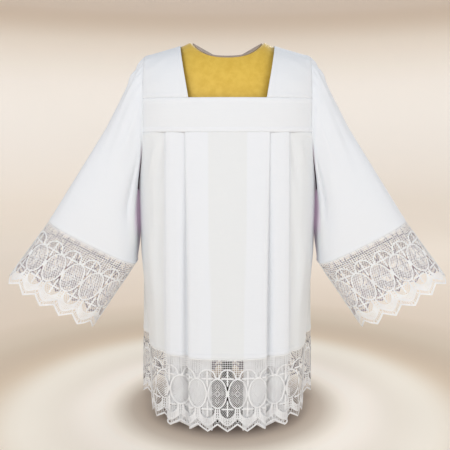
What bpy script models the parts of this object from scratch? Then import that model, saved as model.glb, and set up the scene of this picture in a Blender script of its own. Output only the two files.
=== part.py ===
"""Pleated lace surplice on a limbless dress form. Metres, +Z up, the floor at z = 0, the front towards -Y.

The garment is made the way it is cut: flat pieces, given by a distance along the cloth (u) and a drop below a
seam (v), are laid on the surface of a filled-out body by small functions, and Solidify gives the walls.
"""

import math

import bmesh
import bpy
import numpy as np
from mathutils import Vector
from mathutils.geometry import delaunay_2d_cdt

# The cloth and its seams
WALL = 0.0012
SEAM_GAP = 0.0003
HALF_GAP = SEAM_GAP / 2
SIDE_SEAM_HALF_GAP = 0.00035  # the walls meet there at an angle
CUFF_SEAM_HALF_GAP = 0.00045

# Heights above the floor
HEM_TIP_Z = 0.012
YOKE_SEAM_Z = 0.739
NECK_FRONT_Z = 0.8215
NECK_BACK_Z = 0.902
NECK_POINT_Z = 0.955
SHOULDER_TIP_Z = 0.930
UNDERARM_Z = 0.588

# Widths from the middle of the body
NECK_HALF_WIDTH = 0.0943
NECK_POINT_X = 0.1186
ARMHOLE_X = 0.2096

# Exponents of the rounded sections
BODY_ROUND = 2.5
ARCH_ROUND = 2.4
CUFF_ROUND = 3.0

# The body below the yoke: height, half width at the front panel's side and at the back panel's side,
# depth in front of the shoulder line and behind it
BODY = (
    (0.739, 0.2350, 0.2350, 0.135, 0.125),
    (0.588, 0.2300, 0.2300, 0.154, 0.146),
    (0.430, 0.2262, 0.2305, 0.175, 0.167),
    (0.297, 0.2155, 0.2350, 0.192, 0.186),
    (0.195, 0.2085, 0.2385, 0.205, 0.201),
    (0.012, 0.2045, 0.2430, 0.210, 0.210),
)
SIDE_PINCH_Y = 0.030  # how far behind the side seam the back panel has flared to its own width
SECTION_STEPS = 64
WAY_STEP = 0.002  # distance either side over which a section's direction is read

# One side of the pleated cloth, from the middle to the last fold: distance along the cloth, distance
# across the body at the yoke and at the hem, layers behind the front one, and the turn of a fold
# (1 at an edge that shows, -1 at a hidden one, 0 where the cloth runs on)
PLEATS = (
    (0.000, 0.0000, 0.0000, 0, 0),
    (0.050, 0.0506, 0.0471, 0, 0),
    (0.101, 0.1023, 0.0951, 0, 1),
    (0.157, 0.0488, 0.0370, 1, -1),
    (0.213, 0.1053, 0.0985, 2, 0),
    (0.255, 0.1390, 0.1410, 0, 0),
    (0.267, 0.1511, 0.1534, 0, 1),
    (0.279, 0.1390, 0.1410, 1, 0),
    (0.313, 0.1053, 0.0985, 3, 0),
    (0.320, 0.0995, 0.0925, 3, -1),
    (0.327, 0.1053, 0.0985, 4, 0),
    (0.360, 0.1390, 0.1410, 2, 0),
    (0.376, 0.1545, 0.1570, 2, 0),
    (0.407, 0.1850, 0.1800, 0, 0),
)
LAYER_GAP_YOKE = 0.0027
LAYER_GAP_HEM = 0.0060
FOLD_CLOTH = 0.0035  # half of the cloth that goes round a fold
BODY_ROWS = 5
ARMHOLE_STOPS = (0, 15, 30, 50, 70, 90)  # degrees round the armhole's lower half, a column line at each

# The yoke's bands and straps
YOKE_COLUMNS = (0.0, 0.2, 0.4, 0.55, 0.7, 0.8, 0.88, 0.95, 1.0)  # shares of the way out to the armhole
YOKE_ROWS_FRONT = 2
YOKE_ROWS_BACK = 5
STRAP_ROWS_FRONT = 6
STRAP_ROWS_BACK = 5
STRAP_COLUMNS = 4

# The lace: one repeat is a cross between two ovals, over a scallop with its tip below the cross
REPEAT = 0.0516
LACE_DROP = 0.183
VALLEY_DROP = 0.165
HEM_REPEATS = 11  # from the middle to the side seam
CUFF_REPEATS = 13  # all round
LACE_SEAM_Z = HEM_TIP_Z + LACE_DROP
SIDE_CLOTH = HEM_REPEATS * REPEAT

GAP_MARGIN = 0.001  # cloth left between a gap and the end of a strip

# The largest gaps of a repeat, beside the upper cross and the lower one: along from the cross, and drop
LACE_GAPS = (
    ((0.0022, 0.0290), (0.0110, 0.0335), (0.0172, 0.0458), (0.0022, 0.0458)),
    ((0.0022, 0.1268), (0.0172, 0.1268), (0.0112, 0.1392), (0.0022, 0.1455)),
)

# The right sleeve's two lower rings, at the cuff seam and round the tips of the lace: middle (x, y, z),
# half width, and how steeply the ring rises outward
CUFF_SEAM = ((0.3460, -0.045, 0.4600), 0.1233, math.radians(27.0))
CUFF_END = ((0.4570, -0.060, 0.3030), 0.1244, math.radians(30.4))
SLEEVE_ROWS = 8
SLEEVE_COLUMNS = 28
SLEEVE_FULLNESS = 0.10
SLEEVE_LENGTH = 0.40
ARMHOLE_CLEAR = 0.0009  # from the middle of the body's wall to the sleeve's end, at the yoke
UNDERARM_CLEAR = 0.0022  # the same under the arm, where the sleeve hangs along the body

# How the sleeve's upper line leaves a straight one: place along the sleeve, and how far it lifts
SLEEVE_TOP = ((0.0, 0.0), (0.08, 0.0045), (0.20, 0.0), (0.42, -0.0070), (0.70, -0.0040), (1.0, 0.0))

# Long soft folds of a sleeve: place round it in degrees (0 on top, 90 in front), half width in
# degrees, depth, and where it starts and ends along the sleeve
SLEEVE_FOLDS = (
    (112.0, 16.0, 0.0050, 0.05, 0.85),
    (62.0, 20.0, 0.0030, 0.25, 1.00),
    (150.0, 14.0, 0.0035, 0.20, 0.95),
    (238.0, 18.0, 0.0050, 0.05, 0.90),
    (295.0, 22.0, 0.0035, 0.20, 1.00),
)

# The dress form: height, half width, and depth in front and behind of its level sections
FORM = (
    (0.300, 0.1450, 0.1050, 0.1050),
    (0.306, 0.1530, 0.1120, 0.1120),
    (0.360, 0.1640, 0.1180, 0.1200),
    (0.430, 0.1680, 0.1200, 0.1240),
    (0.520, 0.1520, 0.1080, 0.1080),
    (0.590, 0.1400, 0.0990, 0.0960),
    (0.670, 0.1520, 0.1080, 0.1000),
    (0.750, 0.1740, 0.1200, 0.1040),
    (0.810, 0.1880, 0.1185, 0.1030),
    (0.860, 0.1980, 0.1060, 0.0960),
)
FORM_SHARE = 0.93  # depth of the form's shoulders in the garment's
FORM_CLEAR = 0.00095  # from the middle of a strap down to the form's shoulder
FORM_SHOULDER = (0.2030, 0.0960, 0.0880)  # half width, depth in front and behind, of the shoulders' first ring
FORM_NECK = (0.0955, 0.0750, 0.0550)  # the same of the neck's rim
FORM_SHOULDER_RINGS = (0.0, 0.2, 0.4, 0.6, 0.8, 0.9)  # shares of the way from the one to the other
FORM_NECK_Z = 0.965
FORM_NECK_MIDDLE_Z = 0.912
FORM_COLUMNS = 28
NECK_CAP_SHARE = 0.93
NECK_CAP_THICKNESS = 0.003

POLE_RADIUS = 0.015
BASE_RADIUS = 0.140
BASE_HEIGHT = 0.010
BASE_BEVEL = 0.002
STAND_SEGMENTS = 40

COLOURS = {
    "cloth": ((0.86, 0.87, 0.90, 1.0), 0.80, 0.0),
    "lace": ((0.84, 0.84, 0.84, 1.0), 0.85, 0.0),
    "gold_fabric": ((0.66, 0.45, 0.09, 1.0), 0.70, 0.0),
    "neck_cap": ((0.72, 0.62, 0.50, 1.0), 0.60, 0.0),
    "stand": ((0.05, 0.045, 0.04, 1.0), 0.45, 0.8),
}


def clear_scene():
    for obj in list(bpy.data.objects):
        bpy.data.objects.remove(obj, do_unlink=True)


def material(name):
    made = bpy.data.materials.get(name)
    if made is None:
        made = bpy.data.materials.new(name)
        made.use_nodes = True
        colour, roughness, metallic = COLOURS[name]
        shader = made.node_tree.nodes["Principled BSDF"]
        shader.inputs["Base Color"].default_value = colour
        shader.inputs["Roughness"].default_value = roughness
        shader.inputs["Metallic"].default_value = metallic
        made.diffuse_color = colour
    return made


def mix(a, b, share):
    return a + (b - a) * share


def rounded(angle, power):
    """Cosine and sine of a rounded square's angle: power 2 is a circle."""
    c, s = math.cos(angle), math.sin(angle)
    return (
        math.copysign(abs(c) ** (2 / power), c),
        math.copysign(abs(s) ** (2 / power), s),
    )


# The body's surface


def body_section(z, front):
    """The half section of one panel at a height: points from the middle to the side seam, and their distances."""
    heights = [row[0] for row in BODY][::-1]
    column = 1 if front else 2
    half = np.interp(z, heights, [row[column] for row in BODY][::-1])
    seam = np.interp(z, heights, [row[1] for row in BODY][::-1])
    depth = np.interp(z, heights, [row[column + 2] for row in BODY][::-1])
    points = []
    for step in range(SECTION_STEPS + 1):
        c, s = rounded(math.radians(90) * step / SECTION_STEPS, BODY_ROUND)
        y = depth * c
        x = half * s - (half - seam) * math.exp(-((y / SIDE_PINCH_Y) ** 2))
        points.append((x, -y if front else y))
    points = np.array(points)
    steps = np.linalg.norm(np.diff(points, axis=0), axis=1)
    return points, np.concatenate([[0.0], np.cumsum(steps)])


def body_depth(x, front):
    """How far the yoke seam lies in front of the shoulder line, or behind it, at a distance from the middle."""
    half = BODY[0][1]
    depth = BODY[0][3 if front else 4]
    return depth * (1 - (abs(x) / half) ** BODY_ROUND) ** (1 / BODY_ROUND)


def shoulder_line(x):
    """Height of the shoulder's ridge at a distance from the middle."""
    slope = (NECK_POINT_Z - SHOULDER_TIP_Z) / (ARMHOLE_X - NECK_POINT_X)
    return NECK_POINT_Z - (abs(x) - NECK_POINT_X) * slope


def arch_point(x, angle, front):
    """A point of the arch from the yoke seam (angle 0) up to the shoulder's ridge (90 degrees)."""
    c, s = rounded(angle, ARCH_ROUND)
    y = body_depth(x, front) * c
    z = YOKE_SEAM_Z + (shoulder_line(x) - YOKE_SEAM_Z) * s
    return Vector((x, -y if front else y, z))


def arch_angle(x, z):
    """The arch's angle at a height."""
    share = (z - YOKE_SEAM_Z) / (shoulder_line(x) - YOKE_SEAM_Z)
    return math.asin(min(1.0, max(0.0, share)) ** (ARCH_ROUND / 2))


# The pleated cloth


def cloth_stops(level):
    """One side of the cloth at a level (0 at the yoke, 1 at the hem): u, distance across, depth behind the front."""
    gap = mix(LAYER_GAP_YOKE, LAYER_GAP_HEM, level)
    radius = gap / 2
    stops = []
    for u, across_yoke, across_hem, layer, turn in PLEATS:
        across = mix(across_yoke, across_hem, level)
        if turn == 0:
            stops.append((u, across, layer * gap))
            continue
        for share in (-1.0, -1 / 3, 1 / 3, 1.0):
            angle = math.radians(90) * share
            bulge = radius * (math.cos(angle) - 1) * turn
            depth = layer * gap + radius * (1 + math.sin(angle))
            stops.append((u + FOLD_CLOTH * share, across + bulge, depth))
    return stops


def armhole_stop(degrees, front):
    """A point of the armhole's edge below the yoke: distance from the shoulder line, and height."""
    c, s = rounded(math.radians(degrees), ARCH_ROUND)
    return body_depth(ARMHOLE_X, front) * c, mix(YOKE_SEAM_Z, UNDERARM_Z, s)


def cloth_columns(front):
    """The column lines on one side of the pleated cloth: u, and the height of the body panel's edge there."""
    columns = [(stop[0], YOKE_SEAM_Z) for stop in cloth_stops(0)]
    last = columns[-1][0]
    for degrees in ARMHOLE_STOPS:
        y, z = armhole_stop(degrees, front)
        low, high = last, SIDE_CLOTH
        for _ in range(24):
            u = (low + high) / 2
            if abs(cloth_point(u, z, front).y) > y:
                low = u
            else:
                high = u
        columns.append((high, z))
    corner = len(columns) - len(ARMHOLE_STOPS)
    columns.insert(corner, (mix(last, columns[corner][0], 0.5), YOKE_SEAM_Z))
    columns[-1] = (SIDE_CLOTH, UNDERARM_Z)
    return columns


def cloth_point(u, z, front):
    """Where the pleated cloth lies: u from the middle, at a height. The side seam keeps half of its gap."""
    level = min(1.0, max(0.0, (YOKE_SEAM_Z - z) / (YOKE_SEAM_Z - HEM_TIP_Z)))
    points, lengths = body_section(z, front)
    stops = cloth_stops(level)
    us = [stop[0] for stop in stops] + [SIDE_CLOTH]
    along = [float(np.interp(stop[1], points[:, 0], lengths)) for stop in stops]
    along.append(lengths[-1] - SIDE_SEAM_HALF_GAP)
    behind = [stop[2] for stop in stops] + [0.0]
    s = float(np.interp(u, us, along))
    depth = float(np.interp(u, us, behind))
    place = np.array([np.interp(s, lengths, points[:, k]) for k in (0, 1)])
    ahead = np.array([np.interp(min(s + WAY_STEP, lengths[-1]), lengths, points[:, k]) for k in (0, 1)])
    back = np.array([np.interp(max(s - WAY_STEP, 0.0), lengths, points[:, k]) for k in (0, 1)])
    way = (ahead - back) / np.linalg.norm(ahead - back)
    inward = np.array([-way[1], way[0]]) if front else np.array([way[1], -way[0]])
    x, y = place + inward * depth
    return Vector((x if u > 0 else 0.0, y, z))


# Meshes


def new_object(name, points, faces, colour, collection):
    mesh = bpy.data.meshes.new(name)
    mesh.from_pydata([tuple(point) for point in points], [], faces)
    mesh.materials.append(material(colour))
    obj = bpy.data.objects.new(name, mesh)
    collection.objects.link(obj)
    return obj


def face_outward(obj, middle):
    """Turn every face of an open sheet the same way, its front away from a point inside."""
    cage = bmesh.new()
    cage.from_mesh(obj.data)
    bmesh.ops.remove_doubles(cage, verts=cage.verts, dist=1e-6)
    bmesh.ops.recalc_face_normals(cage, faces=cage.faces)
    facing = sum(
        face.calc_area() * face.normal.dot(face.calc_center_median() - Vector(middle)) for face in cage.faces
    )
    if facing < 0:
        bmesh.ops.reverse_faces(cage, faces=cage.faces)
    cage.to_mesh(obj.data)
    cage.free()


def thicken(obj, mirrored=False):
    """A cloth wall of even thickness round its middle surface."""
    if mirrored:
        mirror = obj.modifiers.new("Mirror", "MIRROR")
        mirror.merge_threshold = 0.00001
    wall = obj.modifiers.new("Wall", "SOLIDIFY")
    wall.thickness = WALL
    wall.offset = 0.0
    obj.data.shade_smooth()
    obj.data.set_sharp_from_angle(angle=math.radians(50))


def grid_faces(rows, columns, closed=False):
    """Quads of a grid whose points are listed row by row."""
    faces = []
    for row in range(rows - 1):
        for column in range(columns if closed else columns - 1):
            following = (column + 1) % columns
            start, above = row * columns, (row + 1) * columns
            faces.append((start + column, start + following, above + following, above + column))
    return faces


def sheet(name, rows, colour, collection, middle, closed=False, mirrored=False):
    """A cloth wall from rows of points."""
    points = [point for row in rows for point in row]
    obj = new_object(name, points, grid_faces(len(rows), len(rows[0]), closed), colour, collection)
    face_outward(obj, middle)
    thicken(obj, mirrored)
    return obj


# The body panels, yoke and straps


def body_panel(name, front, collection):
    bottom = LACE_SEAM_Z + HALF_GAP
    rows = []
    for row in range(BODY_ROWS + 1):
        share = row / BODY_ROWS
        rows.append([cloth_point(u, mix(top - HALF_GAP, bottom, share), front) for u, top in cloth_columns(front)])
    sheet(name, rows, "cloth", collection, (0, 0, 0.45), mirrored=True)


def yoke_band(name, front, collection):
    """The straight band above the pleats, from armhole to armhole."""
    top = (NECK_FRONT_Z if front else NECK_BACK_Z) - HALF_GAP
    row_count = YOKE_ROWS_FRONT if front else YOKE_ROWS_BACK
    columns = [ARMHOLE_X * share for share in YOKE_COLUMNS]
    rows = []
    for row in range(row_count + 1):
        z = mix(YOKE_SEAM_Z + HALF_GAP, top, row / row_count)
        rows.append([arch_point(x, arch_angle(x, z), front) for x in columns])
    sheet(name, rows, "cloth", collection, (0, 0, 0.7), mirrored=True)


def neck_edge(z):
    """Distance of the neck's side edge from the middle, at a height."""
    share = (z - NECK_FRONT_Z) / (NECK_POINT_Z - NECK_FRONT_Z)
    return mix(NECK_HALF_WIDTH, NECK_POINT_X, share)


def strap(name, side, collection):
    """Over the shoulder, from the front band's top to the back band's."""
    rows = []
    rising = [(True, NECK_FRONT_Z, step / STRAP_ROWS_FRONT) for step in range(STRAP_ROWS_FRONT + 1)]
    falling = [(False, NECK_BACK_Z, step / STRAP_ROWS_BACK) for step in range(STRAP_ROWS_BACK)]
    for front, bottom, share in rising + falling[::-1]:
        row = []
        for column in range(STRAP_COLUMNS + 1):
            x = mix(NECK_HALF_WIDTH, ARMHOLE_X, column / STRAP_COLUMNS)
            for _ in range(8):
                start = arch_angle(x, bottom + HALF_GAP)
                point = arch_point(x, mix(start, math.radians(90), share), front)
                x = mix(neck_edge(point.z), ARMHOLE_X, column / STRAP_COLUMNS)
            row.append(Vector((x * side, point.y, point.z)))
        rows.append(row)
    sheet(name, rows, "cloth", collection, (0.15 * side, 0, 0.7))


# The sleeves


def armhole_point(angle):
    """The sleeve's first ring, on the right: angle 0 on the shoulder, 90 degrees in front, 180 under the arm."""
    up, across = rounded(angle, ARCH_ROUND)
    front = across >= 0
    if up >= 0:
        z = YOKE_SEAM_Z + (shoulder_line(ARMHOLE_X) - YOKE_SEAM_Z) * up
        x = ARMHOLE_X
    else:
        z = YOKE_SEAM_Z + (YOKE_SEAM_Z - UNDERARM_Z) * up
        points, _ = body_section(z, front)
        reach = np.abs(points[:, 1])[::-1]
        x = float(np.interp(abs(across) * body_depth(ARMHOLE_X, front), reach, points[::-1, 0]))
    clear = mix(ARMHOLE_CLEAR, UNDERARM_CLEAR, max(0.0, -up))
    return Vector((x + clear, -across * body_depth(ARMHOLE_X, front), z))


def cuff_depth():
    """Half depth that makes the cuff's ring as long as its lace."""
    half = CUFF_SEAM[1]
    low, high = 0.02, half
    for _ in range(30):
        depth = (low + high) / 2
        turns = [rounded(math.radians(angle), CUFF_ROUND) for angle in range(361)]
        ring = np.array([(half * c, depth * s) for c, s in turns])
        length = np.linalg.norm(np.diff(ring, axis=0), axis=1).sum()
        if length > CUFF_REPEATS * REPEAT:
            high = depth
        else:
            low = depth
    return depth


CUFF_HALF_DEPTH = cuff_depth()


def cuff_point(angle, drop):
    """A point of the right cuff, or of the sleeve's last ring at drop 0."""
    along, across = rounded(angle, CUFF_ROUND)
    ends = []
    for (x, y, z), half, slope in (CUFF_SEAM, CUFF_END):
        reach = half * along
        ends.append(
            Vector((x + reach * math.cos(slope), y - CUFF_HALF_DEPTH * across, z + reach * math.sin(slope)))
        )
    return ends[0].lerp(ends[1], drop / LACE_DROP)


def sleeve_fold(degrees, share):
    """How far the long folds sink into the sleeve at a place."""
    depth = 0.0
    for place, half, deep, start, end in SLEEVE_FOLDS:
        if start < share < end:
            length = math.sin(math.pi * (share - start) / (end - start)) ** 2
            away = (degrees - place) / half
            depth += deep * length * math.exp(-away * away)
    return depth


def sleeve_point(angle, share):
    """The right sleeve from the armhole (share 0) to the cuff seam (share 1)."""
    point = armhole_point(angle).lerp(cuff_point(angle, 0.0), share)
    point.y *= 1 + SLEEVE_FULLNESS * math.sin(math.pi * share)
    up, across = rounded(angle, ARCH_ROUND)
    slope = CUFF_SEAM[2]
    outward = Vector((up * math.cos(slope), -across, up * math.sin(slope))).normalized()
    lift = max(0.0, up) * float(np.interp(share, [row[0] for row in SLEEVE_TOP], [row[1] for row in SLEEVE_TOP]))
    return point + outward * (lift - sleeve_fold(math.degrees(angle) % 360, share))


def sleeve(name, side, collection):
    rows = []
    for row in range(SLEEVE_ROWS + 1):
        share = row / SLEEVE_ROWS
        if row == SLEEVE_ROWS:
            share -= CUFF_SEAM_HALF_GAP / SLEEVE_LENGTH
        ring = []
        for column in range(SLEEVE_COLUMNS):
            point = sleeve_point(math.radians(360) * column / SLEEVE_COLUMNS, share)
            ring.append(Vector((point.x * side, point.y, point.z)))
        rows.append(ring)
    sheet(name, rows, "cloth", collection, (0.3 * side, 0, 0.62), closed=True)


# The lace


def lace_gaps(first, last):
    """The gaps' outlines between two ends of a strip, whose crosses lie at whole repeats."""
    gaps = []
    for repeat in range(math.floor(first / REPEAT), math.ceil(last / REPEAT) + 1):
        for outline in LACE_GAPS:
            for side in (1, -1):
                gap = [(repeat * REPEAT + side * u, v) for u, v in outline]
                if all(first + GAP_MARGIN < u < last - GAP_MARGIN for u, _ in gap):
                    gaps.append(gap)
    return gaps


def scallop_drop(u):
    """Drop of the zigzag edge: tips at whole repeats."""
    away = abs(u / REPEAT - round(u / REPEAT)) * 2
    return mix(LACE_DROP, VALLEY_DROP, away)


def inside(point, outline):
    """Whether a point lies inside a closed outline."""
    x, y = point
    crossings = 0
    for (x1, y1), (x2, y2) in zip(outline, outline[1:] + outline[:1]):
        if (y1 > y) != (y2 > y) and x < x1 + (y - y1) * (x2 - x1) / (y2 - y1):
            crossings += 1
    return crossings % 2 == 1


def lace_pattern(first, last, columns):
    """The flat lace between two ends: triangles cut along the column lines, without the gaps."""
    turns = [first, last] + [u for u in columns if first < u < last]
    turns += [k * REPEAT / 2 for k in range(math.ceil(2 * first / REPEAT), math.floor(2 * last / REPEAT) + 1)]
    edge = sorted(set(round(u, 6) for u in turns))
    outline = [(first, 0.0), (last, 0.0)] + [(u, scallop_drop(u)) for u in reversed(edge)]
    points, lines = [], []

    def add(shape, closed=True):
        start = len(points)
        points.extend(Vector(point) for point in shape)
        count = len(shape)
        lines.extend((start + k, start + (k + 1) % count) for k in range(count if closed else count - 1))

    add(outline)
    gaps = lace_gaps(first, last)
    for gap in gaps:
        add(gap)
    for u in columns:
        if first < u < last:
            add([(u, 0.0), (u, scallop_drop(u))], closed=False)
    corners, _, triangles = delaunay_2d_cdt(points, lines, [], 0, 1e-6)[:3]
    kept = []
    for triangle in triangles:
        middle = sum((corners[k] for k in triangle), Vector((0.0, 0.0))) / 3
        if inside(middle, outline) and not any(inside(middle, gap) for gap in gaps):
            kept.append(tuple(triangle))
    return [tuple(corner) for corner in corners], kept


def hem_lace(name, front, collection):
    corners, triangles = lace_pattern(0.0, SIDE_CLOTH, [u for u, _ in cloth_columns(front)])
    points = [cloth_point(u, LACE_SEAM_Z - HALF_GAP - v, front) for u, v in corners]
    obj = new_object(name, points, triangles, "lace", collection)
    face_outward(obj, (0, 0, 0.1))
    thicken(obj, mirrored=True)


def cuff_angles():
    """Distances along the cuff's lace and the angles of its ring there: from the top round by the front."""
    angles = [math.radians(degree) for degree in range(361)]
    ring = [cuff_point(angle, 0.0) for angle in angles]
    lengths = [0.0]
    for one, following in zip(ring, ring[1:]):
        lengths.append(lengths[-1] + (following - one).length)
    return [length * CUFF_REPEATS * REPEAT / lengths[-1] for length in lengths], angles


def cuff_lace(name, side, front, collection):
    lengths, angles = cuff_angles()
    half = CUFF_REPEATS * REPEAT / 2
    first, last = (0.0, half) if front else (half, 2 * half)
    ring_lines = [math.radians(360) * column / SLEEVE_COLUMNS for column in range(SLEEVE_COLUMNS)]
    columns = [float(np.interp(angle, angles, lengths)) for angle in ring_lines]
    corners, triangles = lace_pattern(first + HALF_GAP, last - HALF_GAP, columns)
    points = []
    for u, v in corners:
        point = cuff_point(float(np.interp(u, lengths, angles)), v + CUFF_SEAM_HALF_GAP)
        points.append(Vector((point.x * side, point.y, point.z)))
    obj = new_object(name, points, triangles, "lace", collection)
    face_outward(obj, (0.4 * side, CUFF_SEAM[0][1], 0.385))
    thicken(obj)


# The dress form


def closed_loft(name, rings, start, end, colour, collection):
    """Rings of points joined into one closed solid, whose first and last rings close on a middle point."""
    count = len(rings[0])
    points = [point for ring in rings for point in ring] + [start, end]
    faces = grid_faces(len(rings), count, closed=True)
    last = (len(rings) - 1) * count
    for k in range(count):
        following = (k + 1) % count
        faces.append((following, k, len(points) - 2))
        faces.append((last + k, last + following, len(points) - 1))
    obj = new_object(name, points, faces, colour, collection)
    obj.data.shade_smooth()
    obj.data.set_sharp_from_angle(angle=math.radians(40))
    return obj


def form_ring(half_width, depth_front, depth_back):
    """Plan of a form's section: (x, y) anticlockwise from the middle of the front."""
    ring = []
    for column in range(FORM_COLUMNS):
        c, s = rounded(math.radians(360) * column / FORM_COLUMNS, BODY_ROUND)
        ring.append((half_width * s, -c * (depth_front if c > 0 else depth_back)))
    return ring


def form_shoulder_z(x, y):
    """Height of the form's upper surface: it meets the straps along the ridge and falls off rounder than they do."""
    share = max(0.0, (NECK_POINT_X - abs(x)) / (NECK_POINT_X - FORM_NECK[0]))
    ridge = mix(min(shoulder_line(x), NECK_POINT_Z) - FORM_CLEAR, FORM_NECK_Z, min(1.0, share))
    away = y / (FORM_SHARE * body_depth(x, y < 0))
    return YOKE_SEAM_Z + (ridge - YOKE_SEAM_Z) * math.sqrt(max(0.0, 1 - away * away))


def form_neck_ring(share):
    """The neck's rim, drawn in towards the middle of its scoop."""
    ring = []
    for x, y in form_ring(*FORM_NECK):
        z = form_shoulder_z(x, y)
        ring.append(Vector((x * share, y * share, mix(FORM_NECK_MIDDLE_Z, z, share))))
    return ring


def form_torso(collection):
    rings = [[Vector((x, y, z)) for x, y in form_ring(*sizes)] for z, *sizes in FORM]
    for share in FORM_SHOULDER_RINGS:
        sizes = [mix(low, high, share) for low, high in zip(FORM_SHOULDER, FORM_NECK)]
        rings.append([Vector((x, y, form_shoulder_z(x, y))) for x, y in form_ring(*sizes)])
    rings += [form_neck_ring(1.0), form_neck_ring(0.5)]
    bottom = Vector((0, 0, FORM[0][0]))
    neck = Vector((0, 0, FORM_NECK_MIDDLE_Z))
    closed_loft("form_torso", rings, bottom, neck, "gold_fabric", collection)


def form_neck_cap(collection):
    low, high = [], []
    for share in (NECK_CAP_SHARE, 0.5):
        ring = form_neck_ring(share)
        low.append([point + Vector((0, 0, SEAM_GAP)) for point in ring])
        high.append([point + Vector((0, 0, SEAM_GAP + NECK_CAP_THICKNESS)) for point in ring])
    under = Vector((0, 0, FORM_NECK_MIDDLE_Z + SEAM_GAP))
    over = under + Vector((0, 0, NECK_CAP_THICKNESS))
    rings = [low[1], low[0], high[0], high[1]]
    closed_loft("form_neck_cap", rings, under, over, "neck_cap", collection)


def turned(name, radius, bottom, top, bevel, colour, collection):
    """A round piece of the stand."""
    cage = bmesh.new()
    bmesh.ops.create_cone(
        cage, cap_ends=True, segments=STAND_SEGMENTS, radius1=radius, radius2=radius, depth=top - bottom
    )
    mesh = bpy.data.meshes.new(name)
    cage.to_mesh(mesh)
    cage.free()
    mesh.materials.append(material(colour))
    obj = bpy.data.objects.new(name, mesh)
    obj.location = (0, 0, (bottom + top) / 2)
    collection.objects.link(obj)
    if bevel:
        edge = obj.modifiers.new("Bevel", "BEVEL")
        edge.width = bevel
        edge.segments = 2
    mesh.shade_smooth()
    mesh.set_sharp_from_angle(angle=math.radians(40))


def main():
    clear_scene()
    surplice = bpy.data.collections.new("surplice_on_dress_form")
    bpy.context.scene.collection.children.link(surplice)
    yoke_band("yoke_front", True, surplice)
    yoke_band("yoke_back", False, surplice)
    body_panel("body_front", True, surplice)
    body_panel("body_back", False, surplice)
    hem_lace("hem_lace_front", True, surplice)
    hem_lace("hem_lace_back", False, surplice)
    for word, side in (("left", -1), ("right", 1)):
        strap(f"strap_{word}", side, surplice)
        sleeve(f"sleeve_{word}", side, surplice)
        cuff_lace(f"cuff_lace_{word}_front", side, True, surplice)
        cuff_lace(f"cuff_lace_{word}_back", side, False, surplice)
    form_torso(surplice)
    form_neck_cap(surplice)
    turned("stand_pole", POLE_RADIUS, BASE_HEIGHT + SEAM_GAP, FORM[0][0] - SEAM_GAP, 0, "stand", surplice)
    turned("stand_base", BASE_RADIUS, 0.0, BASE_HEIGHT, BASE_BEVEL, "stand", surplice)


main()
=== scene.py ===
# %% [markdown]
# # A pleated lace surplice on a dress form
# A surplice is a wide white over-garment. This one has a square neck, a straight yoke, deep pleats, open
# sleeves, and a deep scalloped lace at the hem and the cuffs. We could sculpt it as one lump, but a maker
# cuts flat pieces and hangs them. So each piece here is a chart: flat coordinates, in metres of cloth,
# with the place in space that each of them hangs at. The shell, the stitches and every thread of the lace
# are laid through the same chart, which keeps them together however the cloth falls.

import math

import bpy
import numpy as np
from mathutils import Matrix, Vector


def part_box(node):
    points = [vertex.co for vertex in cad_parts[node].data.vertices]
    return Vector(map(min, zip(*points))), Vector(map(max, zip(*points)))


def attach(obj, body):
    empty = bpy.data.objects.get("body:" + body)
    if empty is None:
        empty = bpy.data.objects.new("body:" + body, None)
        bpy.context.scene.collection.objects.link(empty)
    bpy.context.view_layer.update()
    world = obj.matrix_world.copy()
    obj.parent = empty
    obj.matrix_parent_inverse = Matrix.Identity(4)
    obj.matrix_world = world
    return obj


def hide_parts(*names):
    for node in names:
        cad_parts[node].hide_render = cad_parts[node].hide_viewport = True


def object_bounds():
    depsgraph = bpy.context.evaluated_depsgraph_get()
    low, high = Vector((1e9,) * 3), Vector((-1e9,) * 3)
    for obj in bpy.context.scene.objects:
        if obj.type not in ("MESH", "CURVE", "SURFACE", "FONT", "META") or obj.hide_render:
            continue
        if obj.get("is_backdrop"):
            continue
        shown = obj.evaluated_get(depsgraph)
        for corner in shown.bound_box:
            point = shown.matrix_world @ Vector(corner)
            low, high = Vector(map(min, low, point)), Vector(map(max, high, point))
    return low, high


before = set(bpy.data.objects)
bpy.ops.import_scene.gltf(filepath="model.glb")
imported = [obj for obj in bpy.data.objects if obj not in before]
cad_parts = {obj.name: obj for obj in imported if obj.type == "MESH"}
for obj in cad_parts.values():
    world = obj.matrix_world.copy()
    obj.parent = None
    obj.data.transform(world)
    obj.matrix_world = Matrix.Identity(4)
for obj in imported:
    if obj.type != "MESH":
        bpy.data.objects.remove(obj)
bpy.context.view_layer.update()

# %% [markdown]
# ## Sizes
# The heights of the seams are read from the solids, so that the shells can't drift away from them. The
# rest repeats the garment's cut: half widths from the middle, the exponents of its rounded sections (2 is
# an ellipse, more is squarer), and a short table of level sections below the yoke.

# %% Heights and widths
SEAM_HALF_GAP = 0.00015
SIDE_SEAM_HALF_GAP = 0.00035
CUFF_SEAM_HALF_GAP = 0.00045
YOKE_SEAM_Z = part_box("yoke_front")[0].z - SEAM_HALF_GAP
NECK_FRONT_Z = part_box("yoke_front")[1].z + SEAM_HALF_GAP
NECK_BACK_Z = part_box("yoke_back")[1].z + SEAM_HALF_GAP
LACE_SEAM_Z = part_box("body_front")[0].z - SEAM_HALF_GAP
NECK_POINT_Z = 0.955
SHOULDER_TIP_Z = 0.930
UNDERARM_Z = 0.588
NECK_HALF_WIDTH = 0.0943
NECK_POINT_X = 0.1186
ARMHOLE_X = 0.2096
BODY_ROUND = 2.5
ARCH_ROUND = 2.4
CUFF_ROUND = 3.0
print("seams at", [round(z, 4) for z in (LACE_SEAM_Z, YOKE_SEAM_Z, NECK_FRONT_Z, NECK_BACK_Z)])

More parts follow.
